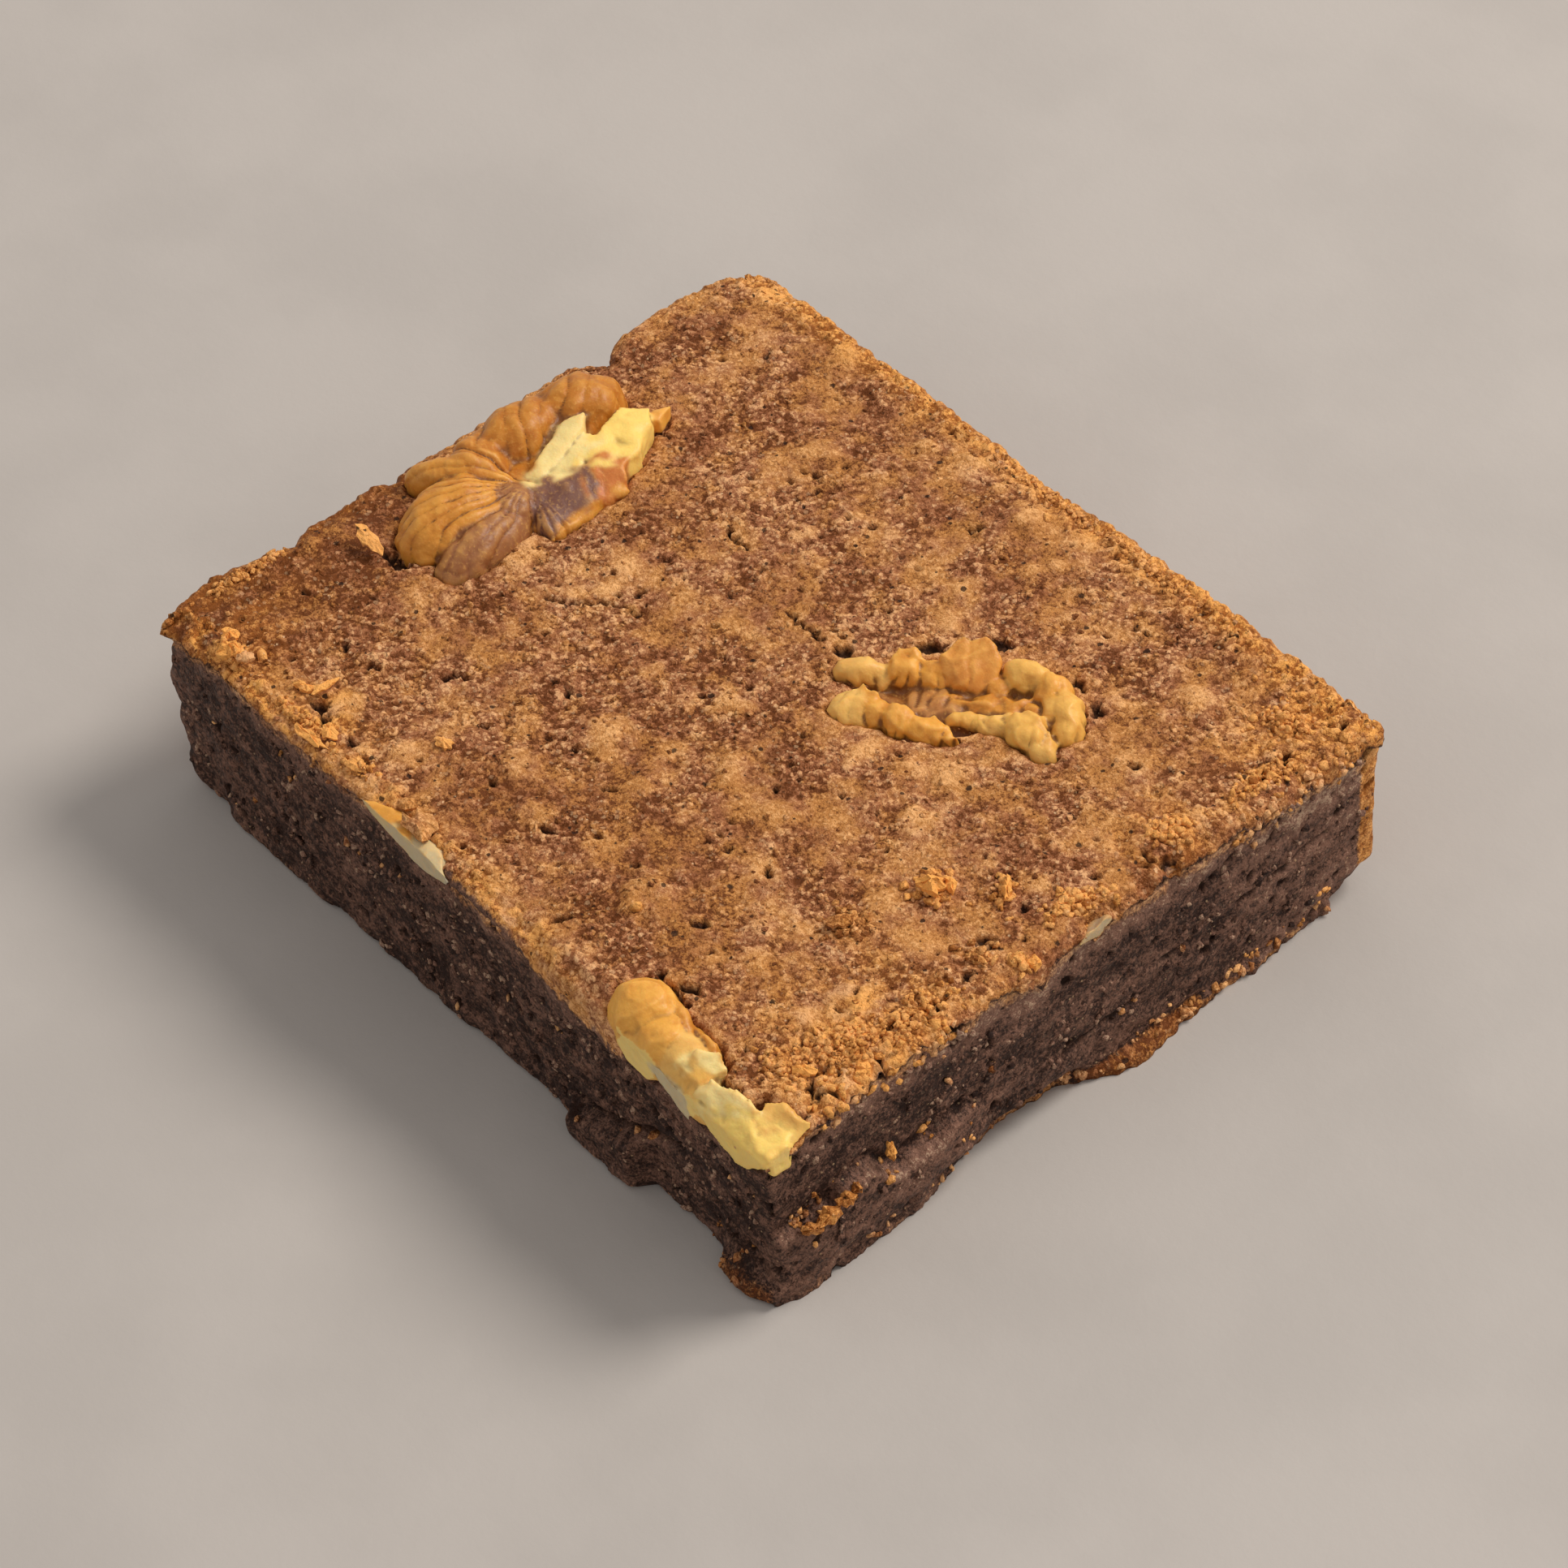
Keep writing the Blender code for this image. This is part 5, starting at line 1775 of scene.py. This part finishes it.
class BlondieSettings(bpy.types.PropertyGroup):
    """Sizes and colours of the blondie that a user may change."""

    crust_detail: spacing_property("Crust detail", "Distance between the crust's points", 0.26)
    crumb_detail: spacing_property("Crumb detail", "Distance between the cut faces' points", 0.22)
    walnut_detail: spacing_property("Walnut detail", "Distance between the walnuts' points", 0.18)
    dome_count: count_property("Blisters", "Small blisters besides the large ones", 70, 500)
    pit_count: count_property("Pits", "Small pits besides the large ones", 130, 2000)
    chip_count: count_property("Chips", "Thin chips to try to lay on the crust", 5200, 9000)
    # The crust's colours follow its level, which carries the crust's own tone and also painted light
    # and shade.
    crust_dark: colour_property("Dark crust", "The crust between its grains", (0.15, 0.038, 0.004))
    crust_mid: colour_property("Crust", "The crust in general", (0.375, 0.135, 0.053))
    crust_ochre: colour_property("Ochre crust", "The yellower patches", (0.52, 0.212, 0.052))
    crust_light: colour_property("Light crust", "The tops of grains", (0.95, 0.50, 0.20))
    crust_pale: colour_property("Pale crust", "Grains of the gritty patches", (0.86, 0.46, 0.215))
    crust_amber: colour_property("Amber crust", "Between the golden grains", (0.42, 0.13, 0.018))
    crust_gold: colour_property("Golden crust", "The yellow-orange rims", (1.0, 0.46, 0.11))
    crumb_dark: colour_property("Dark crumb", "The cut faces", (0.024, 0.009, 0.0055))
    crumb_light: colour_property("Light crumb", "The lighter mottling", (0.24, 0.12, 0.080))
    crumb_speck: colour_property("Specks", "Pale specks in the cut faces", (0.46, 0.30, 0.20))
    # Painted shade: the colour at the bottoms of pits, pores and gaps.
    pit_shade: colour_property("Pits", "The bottoms of pits and pores", (0.022, 0.006, 0.0015))
    # Pale sugar crystals and flecks, also used for painted glints.
    sugar_and_glint: colour_property("Sugar", "Tiny crystals on the crust", (0.95, 0.62, 0.34))
    skin_amber: colour_property("Amber skin", "Walnut skin", (0.49, 0.17, 0.016))
    skin_gold: colour_property("Golden skin", "Pale walnut skin", (0.80, 0.37, 0.055))
    # Painted highlight on the walnuts' crests, also used for their lighter veins.
    skin_pale_and_highlight: colour_property("Skin crests", "The crests of the skin", (0.92, 0.51, 0.125))
    skin_shade: colour_property("Skin patches", "Darkens the skin in patches", (0.62, 0.36, 0.16))
    # Painted shade in the walnuts' folds.
    skin_fold_shade: colour_property("Skin folds", "The folds of the skin", (0.15, 0.045, 0.010))
    skin_mauve: colour_property("Mauve skin", "The dark inner fold", (0.17, 0.085, 0.075))
    skin_orange: colour_property("Orange skin", "A scrap of orange skin", (0.62, 0.20, 0.05))
    flesh_cream: colour_property("Cream flesh", "Broken walnut flesh", (0.90, 0.72, 0.31))
    flesh_yellow: colour_property("Yellow flesh", "Oily walnut flesh", (0.95, 0.66, 0.17))
    flesh_grey: colour_property("Cut flesh", "Walnut flesh that the knife cut", (0.48, 0.40, 0.29))
    floor_colour: colour_property("Floor", "The plain floor", (0.485, 0.445, 0.415))
    key_strength: FloatProperty(
        name="Key light", description="Power of the large soft light", default=12.5, min=0,
        unit="POWER")
    sky_strength: FloatProperty(
        name="Sky light", description="Strength of the light from all round", default=0.55, min=0)


def ride(piece, *nodes):
    """Fixes a piece to the body, in place of the CAD nodes that it shows."""
    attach(piece, "root")
    if nodes:
        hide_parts(*nodes)


class BLONDIE_OT_walnuts(bpy.types.Operator):
    """Build the five pieces of walnut"""

    bl_idname = "blondie.walnuts"
    bl_label = "Walnuts"

    def execute(self, context):
        settings = context.scene.blondie
        material = walnut_material(settings)
        pieces = (
            ("walnut_edge", "walnut_half_edge", half_at_edge(), {"wrinkles": edge_half_wrinkles}),
            ("walnut_middle", "walnut_half_middle", half_in_middle(),
             {"wrinkles": middle_half_wrinkles, "folds": 0.22, "softening": 3, "uneven": 0.2,
              # Painted light: the middle half is lighter where it stands high.
              "top_light": 0.25}),
            ("walnut_corner", "walnut_piece_corner", piece_at_corner(),
             {"knife": True, "folds": 0.2, "cut_grey": 0.12, "softening": 2, "uneven": 0.2,
              "depth": 0.9}),
            ("walnut_side", "walnut_piece_side", piece_at_side(),
             {"knife": True, "cut_grey": 0.8}),
            ("walnut_sliver", "walnut_sliver_side", sliver_at_side(), {"knife": True}),
        )
        for name, cad_node, parts, extras in pieces:
            piece = dress_kernel(name, parts, material, settings, **extras)
            ride(piece, cad_node)
        return {"FINISHED"}


class BLONDIE_OT_slab(bpy.types.Operator):
    """Build the golden crust and the dark crumb under it"""

    bl_idname = "blondie.slab"
    bl_label = "Crust and crumb"

    def execute(self, context):
        settings = context.scene.blondie
        material = blondie_material(settings)
        for piece in (make_crust(settings, material), make_crumb(settings, material)):
            ride(piece, "blondie_slab")
        return {"FINISHED"}


class BLONDIE_OT_crumbs(bpy.types.Operator):
    """Scatter the chips, the loose crumbs and the flakes of crust"""

    bl_idname = "blondie.crumbs"
    bl_label = "Crumbs"

    def execute(self, context):
        chance = np.random.default_rng(12)
        material = bpy.data.materials["blondie"]
        top = tree_of(["crust_top"])
        sides = tree_of(["crust_top", "crumb_body"])
        chips_on_top = gathered(crust_chips(chance, top, context.scene.blondie.chip_count))
        walnuts = tree_of(WALNUTS)
        loose = crust_clumps(chance, top, HEAPS) + rim_crumbs(chance, sides, walnuts)
        pieces = (
            scattered("crust_chips", 3, chips_on_top, material, 0.2),
            scattered("loose_crumbs", 4, gathered(loose), material),
            make_flakes(material),
        )
        for piece in pieces:
            ride(piece)
        return {"FINISHED"}


class BLONDIE_OT_stage(bpy.types.Operator):
    """Lay the plain floor and set the soft lights and the camera"""

    bl_idname = "blondie.stage"
    bl_label = "Stage"

    def execute(self, context):
        scene = context.scene
        settings = scene.blondie
        floor = make_floor(settings)
        add_sky(scene, settings.sky_strength)
        add_key_light(scene, settings.key_strength)
        add_camera(scene)
        scene.view_settings.view_transform = "Standard"
        scene.view_settings.look = "None"
        return {"FINISHED"}


def make_floor(settings):
    """The plain floor, 3 m wide, a little uneven in its colour."""
    remove_object("floor")
    bm = bmesh.new()
    bmesh.ops.create_grid(bm, x_segments=8, y_segments=8, size=1.5)
    mesh = bpy.data.meshes.new("floor")
    bm.to_mesh(mesh)
    bm.free()
    floor = bpy.data.objects.new("floor", mesh)
    bpy.context.scene.collection.objects.link(floor)
    material, tree, shader = new_material("floor")
    shade = speckle(tree, 30.0, 4.0, 0.55)
    darker = tuple(0.93 * channel for channel in settings.floor_colour[:3]) + (1,)
    colour = blend(tree, spread(tree, shade, 0.35, 0.65), darker, settings.floor_colour)
    tree.links.new(colour, shader.inputs["Base Color"])
    tree.links.new(bumped(tree, speckle(tree, 1.2), 0.1, 0.3), shader.inputs["Normal"])
    shader.inputs["Roughness"].default_value = 0.8
    shader.inputs["Specular IOR Level"].default_value = 0.2
    mesh.materials.append(material)
    return floor


# The lights: their colours, and where the large one stands and how wide it is, in metres.
SKY_COLOUR = (1.0, 0.97, 0.94, 1)
KEY_COLOUR = (1.0, 0.95, 0.88)
KEY_AT = (0.30, 0.80, 0.95)
KEY_WIDTH = 0.55


def add_sky(scene, strength):
    """Even light from all round."""
    world = bpy.data.worlds.new("soft_studio")
    world.use_nodes = True
    backdrop = world.node_tree.nodes["Background"]
    backdrop.inputs["Color"].default_value = SKY_COLOUR
    backdrop.inputs["Strength"].default_value = strength
    scene.world = world


def add_key_light(scene, power):
    """A round soft light that faces the middle of the scene."""
    remove_object("key")
    lamp = bpy.data.lights.new("key", "AREA")
    lamp.shape = "DISK"
    lamp.size = KEY_WIDTH
    lamp.energy = power
    lamp.color = KEY_COLOUR
    obj = bpy.data.objects.new("key", lamp)
    obj.location = Vector(KEY_AT)
    obj.rotation_euler = Vector(KEY_AT).to_track_quat("Z", "Y").to_euler()
    scene.collection.objects.link(obj)


# The camera: where it stands, in millimetres, its direction, elevation and roll in degrees,
# and the width of its view as a focal length over the width of the film.
CAMERA_AT = (266.1, -195.33, 353.18)
CAMERA_AZIMUTH = 53.4364
CAMERA_ELEVATION = 46.5451
CAMERA_ROLL = -5.0393
FILM_WIDTH = 36.0
LENS = 130.43


def add_camera(scene):
    """The camera of the main view."""
    remove_object("camera")
    data = bpy.data.cameras.new("camera")
    data.sensor_width = FILM_WIDTH
    data.lens = LENS
    data.clip_start = 0.01
    camera = bpy.data.objects.new("camera", data)
    azimuth, elevation = math.radians(CAMERA_AZIMUTH), math.radians(CAMERA_ELEVATION)
    back = Vector((math.sin(azimuth) * math.cos(elevation),
                   -math.cos(azimuth) * math.cos(elevation), math.sin(elevation)))
    right = Vector((math.cos(azimuth), math.sin(azimuth), 0))
    up = back.cross(right)
    turn = Matrix.Rotation(math.radians(CAMERA_ROLL), 3, back)
    right, up = turn @ right, turn @ up
    matrix = Matrix((right, up, back)).transposed().to_4x4()
    matrix.translation = Vector(np.array(CAMERA_AT) + MIDDLE) * MM
    camera.matrix_world = matrix
    scene.collection.objects.link(camera)
    scene.camera = camera


class BLONDIE_PT_panel(bpy.types.Panel):
    """Lists the settings and the steps that build the blondie"""

    bl_idname = "BLONDIE_PT_panel"
    bl_label = "Blondie"
    bl_space_type = "VIEW_3D"
    bl_region_type = "UI"
    bl_category = "Blondie"

    def draw(self, context):
        settings = context.scene.blondie
        for name in BlondieSettings.__annotations__:
            self.layout.prop(settings, name)
        for operator in OPERATORS:
            self.layout.operator(operator.bl_idname)


OPERATORS = (BLONDIE_OT_walnuts, BLONDIE_OT_slab, BLONDIE_OT_crumbs, BLONDIE_OT_stage)
CLASSES = (BlondieSettings, *OPERATORS, BLONDIE_PT_panel)


def register():
    for cls in CLASSES:
        bpy.utils.register_class(cls)
    bpy.types.Scene.blondie = PointerProperty(type=BlondieSettings)


def unregister():
    del bpy.types.Scene.blondie
    for cls in reversed(CLASSES):
        bpy.utils.unregister_class(cls)


def main():
    """Builds everything in order."""
    register()
    bpy.ops.blondie.walnuts()
    bpy.ops.blondie.slab()
    bpy.ops.blondie.crumbs()
    bpy.ops.blondie.stage()


if __name__ == "__main__":
    main()
